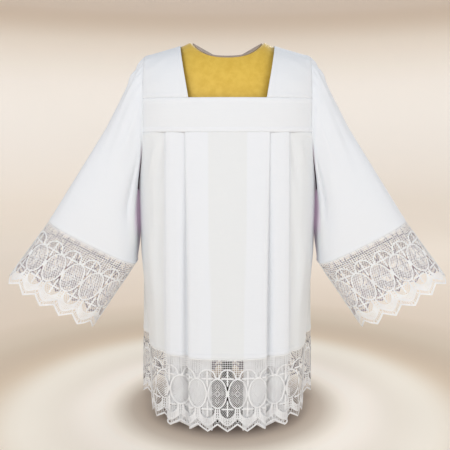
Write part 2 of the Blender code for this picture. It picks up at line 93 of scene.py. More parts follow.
# %% The level sections of the body
# height, half width at the front panel's side and at the back panel's, depth in front and behind
BODY = np.array((
    (0.739, 0.2350, 0.2350, 0.135, 0.125),
    (0.588, 0.2300, 0.2300, 0.154, 0.146),
    (0.430, 0.2262, 0.2305, 0.175, 0.167),
    (0.297, 0.2155, 0.2350, 0.192, 0.186),
    (0.195, 0.2085, 0.2385, 0.205, 0.201),
    (0.012, 0.2045, 0.2430, 0.210, 0.210),
))[::-1]
SIDE_PINCH_Y = 0.030
SECTION_STEPS = 96

# %% [markdown]
# ## The camera
# The photograph looks slightly down on the garment from the front. The camera comes first, because it
# decides how much of each detail will be seen.

# %% Camera
CAMERA_PLACE = (-0.0061, -1.70, 0.7366)
CAMERA_DOWN = math.atan(92 / 645)  # the slope of its line of sight
camera = bpy.data.objects.new("camera", bpy.data.cameras.new("camera"))
camera.data.lens = 51.6
camera.data.sensor_width = 36.0
camera.location = CAMERA_PLACE
camera.rotation_euler = (math.radians(90) - CAMERA_DOWN, 0, 0)
bpy.context.scene.collection.objects.link(camera)
bpy.context.scene.camera = camera
print(f"the camera looks {math.degrees(CAMERA_DOWN):.1f} degrees down")

# %% [markdown]
# ## Small tools for curved sections
# Both sleeves, the body and the form are rounded boxes seen from above. A superellipse gives such a
# section from two half widths and one exponent, so its corners need no points of their own.


# %% Rounded sections
def mix(a, b, share):
    return a + (b - a) * share


def smooth(low, high, value):
    """A soft step from 0 to 1."""
    share = np.clip((value - low) / (high - low), 0.0, 1.0)
    return share * share * (3 - 2 * share)


def rounded(angle, power):
    """Cosine and sine on a rounded square."""
    c, s = np.cos(angle), np.sin(angle)
    return np.copysign(np.abs(c) ** (2 / power), c), np.copysign(np.abs(s) ** (2 / power), s)


def body_section(z, front):
    """Half of a level section, from the middle to the side seam, and the distance along it."""
    half, seam = np.interp(z, BODY[:, 0], BODY[:, 1 if front else 2]), np.interp(z, BODY[:, 0], BODY[:, 1])
    depth = np.interp(z, BODY[:, 0], BODY[:, 3 if front else 4])
    c, s = rounded(np.radians(90) * np.arange(SECTION_STEPS + 1) / SECTION_STEPS, BODY_ROUND)
    y = depth * c
    x = half * s - (half - seam) * np.exp(-((y / SIDE_PINCH_Y) ** 2))
    steps = np.hypot(np.diff(x), np.diff(y))
    return x, -y if front else y, np.concatenate([[0.0], np.cumsum(steps)])


def body_depth(x, front):
    """How far the yoke seam lies in front of the shoulder line, or behind it."""
    depth = BODY[-1, 3 if front else 4]
    return depth * (1 - (np.abs(x) / BODY[-1, 1]) ** BODY_ROUND) ** (1 / BODY_ROUND)


print("the hem is", round(2 * body_section(LACE_SEAM_Z, True)[2][-1], 3), "m round the front before pleating")

# %% [markdown]
# ## A chart of hung cloth
# A chart holds a grid of places, with the flat distance across the cloth on one axis and the distance
# down it on the other. Reading it between its lines is a bilinear blend. Its normals let us lift a thread
# or a stitch off the cloth by a fraction of a millimetre.


# %% The chart
class Chart:
    def __init__(self, across, down, places):
        self.across, self.down, self.places = np.asarray(across), np.asarray(down), places
        self.turned = False
        way = np.gradient(places, self.across, axis=1)
        fall = np.gradient(places, self.down, axis=0)
        normals = np.cross(way, fall)
        self.normals = normals / np.maximum(np.linalg.norm(normals, axis=2, keepdims=True), 1e-12)

    def at(self, u, v, lift=0.0):
        """Places of flat coordinates, lifted off the cloth along its normal."""
        column = np.clip(np.searchsorted(self.across, u) - 1, 0, len(self.across) - 2)
        row = np.clip(np.searchsorted(self.down, v) - 1, 0, len(self.down) - 2)
        a = (u - self.across[column]) / (self.across[column + 1] - self.across[column])
        b = (v - self.down[row]) / (self.down[row + 1] - self.down[row])
        a, b = np.clip(a, -0.5, 1.5)[..., None], np.clip(b, -0.5, 1.5)[..., None]

        def blend(grid):
            top = grid[row, column] * (1 - a) + grid[row, column + 1] * a
            low = grid[row + 1, column] * (1 - a) + grid[row + 1, column + 1] * a
            return top * (1 - b) + low * b

        return blend(self.places) + blend(self.normals) * np.asarray(lift)[..., None]

    def flipped(self):
        """The same chart with its normals turned round."""
        self.normals = -self.normals
        self.turned = not self.turned
        return self


def face_out(chart, middle):
    """Turn a chart's normals away from a point inside the piece."""
    outward = ((chart.places - np.array(middle)) * chart.normals).sum()
    return chart if outward > 0 else chart.flipped()


# %% [markdown]
# ## Creases
# Cloth that hangs is never even. Each crease is one row: where it starts and ends on the piece, its half
# width, and how deep it sinks (a ridge has a negative depth). It fades at both ends, so rows can lie close
# to a seam without opening it. The rows are placed from what the cloth does between its supports.


# %% How far creases sink the cloth
def crease_depth(u, v, creases):
    depth = np.zeros(np.broadcast(u, v).shape)
    for u1, v1, u2, v2, half_width, sink in creases:
        du, dv = u2 - u1, v2 - v1
        length = math.hypot(du, dv)
        along = ((u - u1) * du + (v - v1) * dv) / length**2
        away = ((u - u1) * dv - (v - v1) * du) / length
        fade = np.sin(np.pi * np.clip(along, 0.0, 1.0)) ** 1.5
        spread = half_width * (0.7 + 0.6 * np.clip(along, 0.0, 1.0))
        depth = depth + sink * fade * np.exp(-((away / spread) ** 2))
    return depth


# %% [markdown]
# ## The pleated body
# A pleat is cloth that doubles back under itself. One table says it all: the distance along the cloth,
# the distance across the body at the yoke and at the hem, how many layers lie in front, and which way a
# fold turns. The folds open a little towards the hem, where nothing holds them.

# %% The pleats
# distance along the cloth, across the body at the yoke, across at the hem, layers in front, turn
PLEATS = (
    (0.000, 0.0000, 0.0000, 0, 0),
    (0.050, 0.0506, 0.0471, 0, 0),
    (0.101, 0.1023, 0.0951, 0, 1),
    (0.157, 0.0488, 0.0370, 1, -1),
    (0.213, 0.1053, 0.0985, 2, 0),
    (0.255, 0.1390, 0.1410, 0, 0),
    (0.267, 0.1511, 0.1534, 0, 1),
    (0.279, 0.1390, 0.1410, 1, 0),
    (0.313, 0.1053, 0.0985, 3, 0),
    (0.320, 0.0995, 0.0925, 3, -1),
    (0.327, 0.1053, 0.0985, 4, 0),
    (0.360, 0.1390, 0.1410, 2, 0),
    (0.376, 0.1545, 0.1570, 2, 0),
    (0.407, 0.1850, 0.1800, 0, 0),
)
LAYER_GAP_YOKE, LAYER_GAP_HEM = 0.0018, 0.0060
FOLD_CLOTH = 0.0035
REPEAT = 0.0516  # one repeat of the lace
SIDE_CLOTH = 11 * REPEAT
HEM_TIP_Z = LACE_SEAM_Z - 0.183
FOLD_SHARES = np.linspace(-1, 1, 9)


def pleat_stops(level):
    """One side of the cloth at a level from 0 at the yoke to 1 at the hem: along, across, depth behind."""
    gap = mix(LAYER_GAP_YOKE, LAYER_GAP_HEM, level)
    stops = []
    for along, across_yoke, across_hem, layer, turn in PLEATS:
        across = mix(across_yoke, across_hem, level)
        if turn == 0:
            stops.append((along, across, layer * gap))
            continue
        for share in FOLD_SHARES:
            angle = math.radians(90) * share
            bulge = gap / 2 * (math.cos(angle) - 1) * turn
            stops.append((along + FOLD_CLOTH * share, across + bulge, layer * gap + gap / 2 * (1 + math.sin(angle))))
    return np.array(stops).T


print(len(PLEATS), "rows make", 2 * sum(abs(row[4]) for row in PLEATS), "folds on each panel")

# %% The creases of the body
# across the body and height where it starts, the same where it ends, half width, depth
FRONT_CREASES = (
    (-0.104, 0.700, -0.1085, -0.100, 0.0075, 0.0095),
    (0.104, 0.690, 0.1080, -0.100, 0.0075, 0.0090),
    (-0.152, 0.735, -0.186, 0.560, 0.007, 0.0060),
    (-0.170, 0.738, -0.216, 0.610, 0.008, -0.0034),
    (-0.168, 0.600, -0.186, 0.330, 0.013, 0.0050),
    (-0.214, 0.560, -0.196, 0.250, 0.016, -0.0040),
    (-0.128, 0.700, -0.124, 0.250, 0.009, -0.0014),
    (-0.064, 0.560, -0.060, 0.020, 0.020, -0.0016),
    (-0.018, 0.420, -0.026, 0.020, 0.024, 0.0014),
    (0.030, 0.500, 0.022, 0.020, 0.022, -0.0013),
    (0.071, 0.640, 0.066, 0.030, 0.018, 0.0013),
    (0.126, 0.660, 0.124, 0.220, 0.010, -0.0016),
    (0.153, 0.735, 0.190, 0.585, 0.007, 0.0058),
    (0.170, 0.738, 0.212, 0.640, 0.008, -0.0032),
    (0.170, 0.560, 0.190, 0.290, 0.014, 0.0052),
    (0.216, 0.540, 0.198, 0.240, 0.015, -0.0026),
    (-0.190, 0.330, -0.196, 0.010, 0.017, 0.0036),
    (0.188, 0.300, 0.192, 0.010, 0.018, 0.0030),
)
BACK_CREASES = (
    (-0.160, 0.720, -0.200, 0.540, 0.011, 0.0040),
    (-0.176, 0.520, -0.192, 0.240, 0.014, 0.0034),
    (-0.212, 0.480, -0.220, 0.120, 0.017, -0.0032),
    (-0.066, 0.520, -0.060, 0.020, 0.021, 0.0016),
    (0.012, 0.600, 0.020, 0.020, 0.023, -0.0016),
    (0.074, 0.480, 0.070, 0.020, 0.018, -0.0014),
    (0.156, 0.725, 0.190, 0.600, 0.010, 0.0038),
    (0.178, 0.560, 0.194, 0.210, 0.015, 0.0036),
    (0.214, 0.440, 0.222, 0.100, 0.016, -0.0030),
    (-0.030, 0.300, -0.036, 0.015, 0.020, 0.0018),
)


def hang_level(z, along, front, side):
    """Places of the cloth on one side of the body at one height."""
    x, y, lengths = body_section(z, front)
    level = np.clip((YOKE_SEAM_Z - z) / (YOKE_SEAM_Z - HEM_TIP_Z), 0.0, 1.0)
    stop_along, stop_across, stop_behind = pleat_stops(level)
    stop_at = np.append(np.interp(stop_across, x, lengths), lengths[-1] - SIDE_SEAM_HALF_GAP)
    stop_along = np.append(stop_along, SIDE_CLOTH)
    at = np.interp(along, stop_along, stop_at)
    behind = np.interp(along, stop_along, np.append(stop_behind, 0.0))
    fade = smooth(0.0, 0.020, lengths[-1] - at) * smooth(0.0, 0.030, YOKE_SEAM_Z - z)
    behind = behind + crease_depth(side * at, z, FRONT_CREASES if front else BACK_CREASES) * fade
    place_x, place_y = np.interp(at, lengths, x), np.interp(at, lengths, y)
    ahead, back = np.minimum(at + 0.002, lengths[-1]), np.maximum(at - 0.002, 0.0)
    way_x = np.interp(ahead, lengths, x) - np.interp(back, lengths, x)
    way_y = np.interp(ahead, lengths, y) - np.interp(back, lengths, y)
    length = np.hypot(way_x, way_y)
    turn = 1 if front else -1
    place_x = np.where(along > 0, place_x - turn * way_y / length * behind, 0.0)
    place_y = place_y + turn * way_x / length * behind
    return np.stack([side * place_x, place_y, np.full_like(place_x, z)], axis=-1)


def body_chart(front):
    """The whole front or back, from the yoke seam down to the tips of the lace."""
    folds = pleat_stops(0.0)[0]
    half = np.unique(np.round(np.concatenate([np.arange(0, SIDE_CLOTH, 0.0016), folds, [SIDE_CLOTH]]), 6))
    drops = np.linspace(0.0, YOKE_SEAM_Z - HEM_TIP_Z + 0.002, 97)
    rows = []
    for drop in drops:
        right = hang_level(YOKE_SEAM_Z - drop, half, front, 1)
        left = hang_level(YOKE_SEAM_Z - drop, half[1:], front, -1)[::-1]
        rows.append(np.concatenate([left, right]))
    chart = Chart(np.concatenate([-half[:0:-1], half]), drops, np.array(rows))
    return chart


def outward_like_section(chart, front):
    """The visible middle of the panel faces forward, or backward for the back panel."""
    middle = np.searchsorted(chart.across, 0.02)
    facing = chart.normals[40, middle, 1]
    return chart if (facing < 0) == front else chart.flipped()


body = {front: outward_like_section(body_chart(front), front) for front in (True, False)}
print("body charts of", body[True].places.shape[:2], "places")

# %% [markdown]
# ## From a chart to a cloth shell
# A shell is a grid of quads sampled from a chart, then Solidify for the wall. The grid is finer near its
# edges, where a seam allowance is pressed flat underneath and shows as a faint raised band. Two point
# attributes go with it: the flat cut in metres, which the weave follows, and how much cloth lies behind,
# which carries painted shade: a single layer is painted a little darker than a doubled one, and values
# below zero paint the shade beside a sleeve.

# %% Making shells
WALL = 0.0010
SEAM_BAND = 0.011  # width of the seam allowance under a panel's edge
SEAM_RISE = 0.0006
SEAM_DIP = 0.0004
EDGE_STOPS = (0.0, 0.0008, 0.0018, 0.0032, 0.0060, 0.0095, 0.0110, 0.0125, 0.0160)


def graded(low, high, step, fine_low=True, fine_high=True, extra=()):
    """Positions from low to high, close together near the ends that are seams."""
    count = max(2, round((high - low) / step))
    stops = list(np.linspace(low, high, count + 1)) + list(extra)
    stops += [low + stop for stop in EDGE_STOPS] if fine_low else []
    stops += [high - stop for stop in EDGE_STOPS] if fine_high else []
    stops = np.unique(np.round(np.clip(stops, low, high), 6))
    keep = np.concatenate([[True], np.diff(stops) > 0.0004])
    return stops[keep] if stops[keep][-1] == high else np.append(stops[keep][:-1], high)


def seam_relief(distance):
    """How far the cloth stands off its chart beside a seam: a dip at the stitches, then the raised band."""
    band = smooth(0.0, 0.0025, distance) * (1 - smooth(SEAM_BAND - 0.0015, SEAM_BAND + 0.001, distance))
    return SEAM_RISE * band - SEAM_DIP * np.exp(-((distance / 0.0016) ** 2))


def cloth_object(name, places, cut, backing_and_shade, turned, closed=False):
    """A wall of cloth from a grid of places. Its first face side is the outer one, whatever the grid's turn."""
    rows, columns = places.shape[:2]
    index = np.arange(rows * columns).reshape(rows, columns)
    wide = index if not closed else np.concatenate([index, index[:, :1]], axis=1)
    quads = np.stack([wide[:-1, :-1], wide[:-1, 1:], wide[1:, 1:], wide[1:, :-1]], axis=-1).reshape(-1, 4)
    mesh = bpy.data.meshes.new(name)
    mesh.from_pydata(places.reshape(-1, 3).tolist(), [], (quads[:, ::-1] if turned else quads).tolist())
    flat = mesh.attributes.new("cut", "FLOAT_VECTOR", "POINT")
    flat_places = np.concatenate([cut.reshape(-1, 2), np.zeros((cut.size // 2, 1))], axis=1)
    flat.data.foreach_set("vector", flat_places.ravel())
    behind = mesh.attributes.new("backing_and_shade", "FLOAT", "POINT")
    behind.data.foreach_set("value", np.broadcast_to(backing_and_shade, (rows, columns)).astype(float).ravel())
    mesh.shade_smooth()
    made = bpy.data.objects.new(name, mesh)
    bpy.context.scene.collection.objects.link(made)
    wall = made.modifiers.new("Wall", "SOLIDIFY")
    wall.thickness = WALL
    wall.offset = 0.0
    wall.use_even_offset = True
    # the second material of the inner side is a painted shade
    wall.material_offset = 1  # the inner side takes the second finish
    return made


def grid_area(places):
    across, down = np.diff(places, axis=1)[:-1], np.diff(places, axis=0)[:, :-1]
    return float(np.linalg.norm(np.cross(across, down), axis=2).sum())


# %% [markdown]
# ## The front and back panels
# Each panel runs from the yoke seam to the lace. Its upper edge is straight under the yoke, then curves
# down round the armhole to the point under the arm, so the top of a column depends on where it stands.

# %% The armhole's edge on the body
def armhole_top(front, along, chart):
    """Drop of the panel's upper edge for columns past the yoke's end."""
    degrees = np.linspace(0, 90, 46)
    c, s = rounded(np.radians(degrees), ARCH_ROUND)
    edge_y, edge_drop = body_depth(ARMHOLE_X, front) * c, (YOKE_SEAM_Z - UNDERARM_Z) * s
    last = PLEATS[-1][0]
    search = np.linspace(last, SIDE_CLOTH, 120)
    edge = []
    for y, drop in zip(edge_y, edge_drop):
        reach = np.abs(chart.at(search, np.full_like(search, drop))[:, 1])
        edge.append(float(np.interp(-y, -reach, search)))
    edge[-1] = SIDE_CLOTH
    return np.where(along <= edge[0], 0.0, np.interp(along, edge, edge_drop))


# where a single layer hangs, the cloth is painted a little darker: a painted shade of the dark inside
def backing_of(chart, u, drop):
    """1 where folded cloth lies behind the front layer, 0 where a single layer hangs."""
    level = drop / (YOKE_SEAM_Z - HEM_TIP_Z)
    across = np.abs(chart.at(u, drop)[..., 0])
    inner, outer = mix(PLEATS[3][1], PLEATS[3][2], level), mix(PLEATS[12][1], PLEATS[12][2], level)
    return smooth(-0.002, 0.002, across - inner) * (1 - smooth(-0.002, 0.002, across - outer))


# %% The two body panels
def beside_sleeve(u, drop):
    """1 on the strip of each side that the hanging sleeve covers, where painted shade darkens the cloth."""
    return smooth(SIDE_CLOTH - 0.075, SIDE_CLOTH - 0.035, np.abs(u)) * (1 - smooth(0.24, 0.44, drop))


def body_panel(front):
    chart = body[front]
    folds = pleat_stops(0.0)[0]
    half = graded(0.0, SIDE_CLOTH - SIDE_SEAM_HALF_GAP, 0.0055, fine_low=False, extra=folds)
    across = np.concatenate([-half[:0:-1], half])
    top = armhole_top(front, np.abs(across), chart) + SEAM_HALF_GAP
    bottom = YOKE_SEAM_Z - LACE_SEAM_Z - SEAM_HALF_GAP
    share = graded(0.0, bottom, 0.0105) / bottom
    drop = mix(top[None, :], bottom, share[:, None])
    u = np.broadcast_to(across, drop.shape)
    from_top, from_side = (drop - top), SIDE_CLOTH - np.abs(u)
    armhole = smooth(PLEATS[-1][0], PLEATS[-1][0] + 0.02, np.abs(u))
    lift = seam_relief(bottom - drop) * 1.3 + seam_relief(from_top) * armhole + seam_relief(from_side)
    lift -= 0.5 * SEAM_DIP * np.exp(-((from_top / 0.0020) ** 2))
    places = chart.at(u, drop, np.minimum(lift, SEAM_RISE))
    # the strip beside the sleeve gets painted shade: its backing is pushed below zero
    made = cloth_object("skirt_front" if front else "skirt_back", places, np.stack([u, drop], -1),
                        backing_of(chart, u, drop) - 1.4 * beside_sleeve(u, drop), chart.turned)
    return made, places


skirt_front, front_places = body_panel(True)
skirt_back = body_panel(False)[0]
print("the skirt's panels have", front_places.shape[:2], "points and", round(grid_area(front_places), 3), "m2")

# %% [markdown]
# ## The yoke
# The yoke is a straight band across the chest and one across the back, joined by a strap over each
# shoulder. Together they bend over an arch, whose foot is the yoke seam and whose top is the shoulder's
# ridge. A band keeps its height, so we ask the arch for its angle at each height.


# %% The arch
def shoulder_line(x):
    slope = (NECK_POINT_Z - SHOULDER_TIP_Z) / (ARMHOLE_X - NECK_POINT_X)
    return NECK_POINT_Z - (np.abs(x) - NECK_POINT_X) * slope


def arch_point(x, angle, front):
    c, s = rounded(angle, ARCH_ROUND)
    y = body_depth(x, front) * c
    z = YOKE_SEAM_Z + (shoulder_line(x) - YOKE_SEAM_Z) * s
    return np.stack([x, -y if front else y, z], axis=-1)


def arch_angle(x, z):
    share = np.clip((z - YOKE_SEAM_Z) / (shoulder_line(x) - YOKE_SEAM_Z), 0.0, 1.0)
    return np.arcsin(share ** (ARCH_ROUND / 2))


# %% The bands of the yoke
YOKE_CREASES = (
    (-0.190, 0.012, -0.110, 0.030, 0.010, -0.0006),
    (0.196, 0.018, 0.120, 0.040, 0.011, -0.0006),
    (-0.060, 0.030, 0.040, 0.046, 0.014, 0.0005),
)


def yoke_band(front):
    top_z = (NECK_FRONT_Z if front else NECK_BACK_Z) - SEAM_HALF_GAP
    height = top_z - (YOKE_SEAM_Z + SEAM_HALF_GAP)
    across, down = graded(-ARMHOLE_X, ARMHOLE_X, 0.006), graded(0.0, height, 0.006)
    x, drop = np.meshgrid(across, down)
    z = top_z - drop
    chart = face_out(Chart(across, down, arch_point(x, arch_angle(x, z), front)), (0, 0, 0.70))
    side = ARMHOLE_X - np.abs(x)
    lift = seam_relief(drop) + seam_relief(height - drop) + 0.8 * seam_relief(side)
    lift -= crease_depth(x, drop, YOKE_CREASES) * smooth(0.0, 0.02, side)
    places = chart.at(x, drop, np.minimum(lift, 0.0011))
    backing_and_shade = 0.55 + 0.45 * (1 - smooth(SEAM_BAND, SEAM_BAND + 0.002, np.minimum(drop, height - drop)))
    made = cloth_object("yoke_band_front" if front else "yoke_band_back", places, np.stack([x, drop], -1), backing_and_shade,
                        chart.turned)
    return made, chart


yoke_front, yoke_front_chart = yoke_band(True)
yoke_back, yoke_back_chart = yoke_band(False)
print("the yoke's front band is", round(float(yoke_front_chart.down[-1]), 3), "m deep")

# %% [markdown]
# ## The shoulder straps
# A strap narrows towards the shoulder's ridge, because the square neck opens upward. Its inner edge
# depends on its height and its height on its inner edge, so a few rounds of guessing settle both.

# %% The straps
STRAP_CREASES = (
    (0.020, 0.120, 0.105, 0.060, 0.010, -0.0013),
    (0.060, 0.135, 0.112, 0.100, 0.008, -0.0011),
    (0.030, 0.050, 0.090, 0.030, 0.012, -0.0008),
    (0.050, 0.190, 0.110, 0.165, 0.010, -0.0010),
)


def neck_edge(z):
    share = (z - NECK_FRONT_Z) / (NECK_POINT_Z - NECK_FRONT_Z)
    return mix(NECK_HALF_WIDTH, NECK_POINT_X, share)


def strap_row(across_share, front, share):
    """One line of a strap from the neck's edge to the armhole."""
    bottom = (NECK_FRONT_Z if front else NECK_BACK_Z) + SEAM_HALF_GAP
    x = mix(NECK_HALF_WIDTH, ARMHOLE_X, across_share)
    for _ in range(10):
        angle = mix(arch_angle(x, bottom), math.radians(90), share)
        places = arch_point(x, angle, front)
        x = mix(neck_edge(places[:, 2]), ARMHOLE_X, across_share)
    return places


def strap(name, side):
    width = ARMHOLE_X - NECK_POINT_X
    across_share = graded(0.0, width, 0.005) / width
    rising = [strap_row(across_share, True, share) for share in np.linspace(0, 1, 34)]
    falling = [strap_row(across_share, False, share) for share in np.linspace(1, 0, 22)[1:]]
    places = np.array(rising + falling)
    steps = np.linalg.norm(np.diff(places[:, len(across_share) // 2], axis=0), axis=1)
    along = np.concatenate([[0.0], np.cumsum(steps)])
    chart = face_out(Chart(across_share * width, along, places), (0.15, 0, 0.70))
    down = graded(0.0, along[-1], 0.006)
    u, v = np.meshgrid(chart.across, down)
    ends = np.minimum(v, along[-1] - v)
    lift = seam_relief(ends) + 0.8 * seam_relief(width - u) + 0.9 * seam_relief(u)
    lift -= crease_depth(u, v, STRAP_CREASES) * smooth(0.0, 0.015, ends)
    places = chart.at(u, v, np.maximum(lift, -SEAM_DIP)) * np.array([side, 1, 1])
    made = cloth_object(name, places, np.stack([u, v], -1), 0.75, chart.turned == (side > 0))
    return made, chart, places


strap_left, strap_chart = strap("shoulder_strap_left", -1)[:2]
strap_right, _, _ = strap("shoulder_strap_right", 1)
print("a strap is", round(float(strap_chart.down[-1]), 3), "m long over the shoulder")

# %% [markdown]
# ## The sleeves
# A surplice sleeve is a wide straight tube. Its first ring is the armhole and its last one the cuff seam.
# Rings in between are a blend, made fuller in the middle, with folds that sag from the shoulder and a
# little fullness eased into the seam at the top.

# %% The rings of a sleeve
CUFF_SEAM = ((0.3460, -0.045, 0.4600), 0.1233, math.radians(27.0))
CUFF_END = ((0.4570, -0.060, 0.3030), 0.1244, math.radians(30.4))
CUFF_REPEATS = 13
LACE_DROP = 0.183
SLEEVE_LENGTH = 0.40
SLEEVE_FULLNESS = 0.10
ARMHOLE_CLEAR, UNDERARM_CLEAR = 0.0004, 0.0022
SLEEVE_TOP = ((0.0, 0.0), (0.08, 0.0045), (0.20, 0.0), (0.42, -0.0070), (0.70, -0.0040), (1.0, 0.0))
# degrees round from the top by the front, half width in degrees, depth, start and end along the sleeve
SLEEVE_FOLDS = (
    (112.0, 16.0, 0.0050, 0.05, 0.85),
    (62.0, 20.0, 0.0030, 0.25, 1.00),
    (150.0, 16.0, -0.0060, 0.20, 1.00),
    (182.0, 20.0, -0.0060, 0.25, 1.00),
    (238.0, 18.0, 0.0050, 0.05, 0.90),
    (295.0, 22.0, 0.0035, 0.20, 1.00),
)
# degrees round and share along where it starts, the same where it ends, half width in degrees, depth
SLEEVE_CREASES = {
    -1: (
        (36, -0.04, -4, 0.17, 3.4, 0.0070), (46, -0.04, 4, 0.20, 4.0, -0.0040),
        (96, 0.02, 128, 0.70, 7.0, 0.0058), (70, 0.00, 88, 0.42, 6.0, -0.0038),
        (40, 0.05, 66, 0.60, 8.0, 0.0022), (128, 0.10, 152, 0.90, 8.0, -0.0030),
        (24, 0.30, 40, 1.00, 9.0, -0.0018), (168, 0.20, 176, 0.95, 7.0, 0.0030),
        (228, 0.05, 206, 0.80, 8.0, 0.0036), (262, 0.05, 244, 0.65, 8.0, -0.0028),
        (300, 0.10, 286, 0.85, 9.0, 0.0024), (332, 0.25, 318, 0.95, 10.0, -0.0016),
    ),
    1: (
        (34, -0.04, -5, 0.15, 3.4, 0.0060), (45, -0.04, 3, 0.19, 4.0, -0.0036),
        (100, 0.02, 134, 0.62, 7.0, 0.0054), (74, 0.02, 94, 0.50, 6.5, -0.0036),
        (44, 0.10, 62, 0.72, 8.0, 0.0024), (132, 0.15, 150, 0.95, 8.5, -0.0026),
        (20, 0.20, 34, 0.90, 9.0, -0.0020), (170, 0.25, 180, 1.00, 7.5, 0.0026),
        (232, 0.08, 212, 0.75, 8.0, 0.0034), (258, 0.02, 246, 0.60, 7.5, -0.0026),
        (296, 0.15, 280, 0.90, 9.5, 0.0026), (336, 0.20, 322, 0.85, 9.0, -0.0018),
    ),
}
CAP_PUCKERS = 34  # small gathers round the whole armhole
PUCKER_DEPTH = 0.0010
GROOVE_DEPTH, GROOVE_AT = 0.005, 0.026
# crisp folds of the sleeve's head: degrees round, half width, rise, start and end along the sleeve
CAP_FOLDS = {
    -1: ((14.0, 5.0, 0.0040, 0.0, 0.16), (27.0, 3.5, -0.0036, 0.0, 0.20), (38.0, 6.0, 0.0030, 0.0, 0.26),
         (-14.0 + 360, 5.0, 0.0030, 0.0, 0.18)),
    1: ((13.0, 5.0, 0.0036, 0.0, 0.15), (25.0, 3.5, -0.0032, 0.0, 0.18), (36.0, 6.0, 0.0030, 0.0, 0.24),
        (-16.0 + 360, 5.0, 0.0030, 0.0, 0.18)),
}


def armhole_ring(angle):
    """The sleeve's first ring on the right: 0 on the shoulder, 90 degrees in front, 180 under the arm."""
    up, across = rounded(angle, ARCH_ROUND)
    front = across >= 0
    reach_y = np.where(front, body_depth(ARMHOLE_X, True), body_depth(ARMHOLE_X, False))
    z = YOKE_SEAM_Z + np.where(up >= 0, shoulder_line(ARMHOLE_X) - YOKE_SEAM_Z, YOKE_SEAM_Z - UNDERARM_Z) * up
    x = np.full_like(z, ARMHOLE_X)
    for k in np.flatnonzero(up < 0):
        section_x, section_y, _ = body_section(z[k], bool(front[k]))
        x[k] = np.interp(abs(across[k]) * reach_y[k], np.abs(section_y)[::-1], section_x[::-1])
    x = x + mix(ARMHOLE_CLEAR, UNDERARM_CLEAR, np.maximum(0.0, -up))
    return np.stack([x, -across * reach_y, z], axis=-1)


def cuff_half_depth():
    """Half depth that makes the cuff's ring as long as its lace."""
    turns = np.stack(rounded(np.radians(np.arange(361)), CUFF_ROUND), axis=-1)
    low, high = 0.02, CUFF_SEAM[1]
    for _ in range(30):
        depth = (low + high) / 2
        length = np.linalg.norm(np.diff(turns * (CUFF_SEAM[1], depth), axis=0), axis=1).sum()
        low, high = (low, depth) if length > CUFF_REPEATS * REPEAT else (depth, high)
    return depth


CUFF_HALF_DEPTH = cuff_half_depth()
print("the cuff is", round(2 * CUFF_HALF_DEPTH, 3), "m deep and", round(CUFF_REPEATS * REPEAT, 3), "m round")


# %% Places on the sleeve and the cuff
def cuff_place(angle, drop):
    along, across = rounded(angle, CUFF_ROUND)
    ends = []
    for (x, y, z), half, slope in (CUFF_SEAM, CUFF_END):
        reach = half * along
        ends.append(np.stack([x + reach * math.cos(slope), y - CUFF_HALF_DEPTH * across,
                              z + reach * math.sin(slope)], axis=-1))
    return mix(ends[0], ends[1], np.asarray(drop)[..., None] / LACE_DROP)


def groove(degrees, share):
    """How far the sleeve turns in beside the armhole: the hanging cloth leans over the seam and hides it."""
    front = (0.32 * smooth(36, 76, degrees) + 0.68 * smooth(86, 106, degrees)) * (1 - smooth(158, 178, degrees))
    back = (1 - 0.80 * smooth(254, 274, degrees) - 0.20 * smooth(290, 330, degrees)) * smooth(182, 202, degrees)
    width = 0.022 + 0.034 * smooth(96, 150, degrees) * (1 - smooth(210, 264, degrees))
    return np.maximum(front, back) * np.exp(-(((share - GROOVE_AT) / width) ** 2))


def sleeve_place(angle, share, side):
    """Places for a ring of angles at one share of the sleeve's length."""
    degrees = np.degrees(angle)
    places = mix(armhole_ring(angle), cuff_place(angle, np.zeros_like(angle)), share)
    places[:, 1] *= 1 + SLEEVE_FULLNESS * math.sin(math.pi * share)
    up, across = rounded(angle, ARCH_ROUND)
    slope = CUFF_SEAM[2]
    outward = np.stack([up * math.cos(slope), -across, up * math.sin(slope)], axis=-1)
    outward /= np.linalg.norm(outward, axis=1, keepdims=True)
    lift = np.maximum(0.0, up) * np.interp(share, *zip(*SLEEVE_TOP))
    for place, half, deep, start, end in SLEEVE_FOLDS:
        if start < share < end:
            length = math.sin(math.pi * (share - start) / (end - start)) ** 2
            lift = lift - deep * length * np.exp(-(((degrees - place) / half) ** 2))
    # a degree is about 2 mm of cloth, so shares are scaled by 190 to compare with degrees
    creases = [(a, b * 190, c, d * 190, e, f) for a, b, c, d, e, f in SLEEVE_CREASES[side]]
    lift = lift - crease_depth(degrees, share * 190, creases) * math.sin(math.pi * min(1, share * 6 + 0.02) / 2)
    fullness = math.exp(-(((share - 0.035) / 0.03) ** 2)) * PUCKER_DEPTH * np.maximum(0.0, up + 0.35)
    lift = lift + fullness * np.sin(CAP_PUCKERS * angle + 2.0 * np.sin(3 * angle))
    lift = lift - GROOVE_DEPTH * groove(degrees, share)
    for place, half, rise, start, end in CAP_FOLDS[side]:
        length = math.sin(math.pi * np.clip((share - start) / (end - start), 0, 1))
        lift = lift + rise * length * np.exp(-(((degrees - place) / half) ** 2))
    return places + outward * lift[:, None]


# %% The sleeves
def sleeve_painted_shade(angles, shares):
    """Plain cloth, with painted shade in the groove beside the armhole and on the side that faces the body."""
    degrees = np.degrees(angles)
    inner = smooth(122, 150, degrees) * (1 - smooth(208, 236, degrees))
    rows = []
    for share in shares:
        deep = np.clip(1.3 * groove(degrees, share) - 0.3, 0.0, 1.0)
        rows.append(np.maximum(deep, 0.80 * inner * (1 - smooth(0.40, 0.95, share))))
    return 0.85 - 2.3 * np.array(rows)


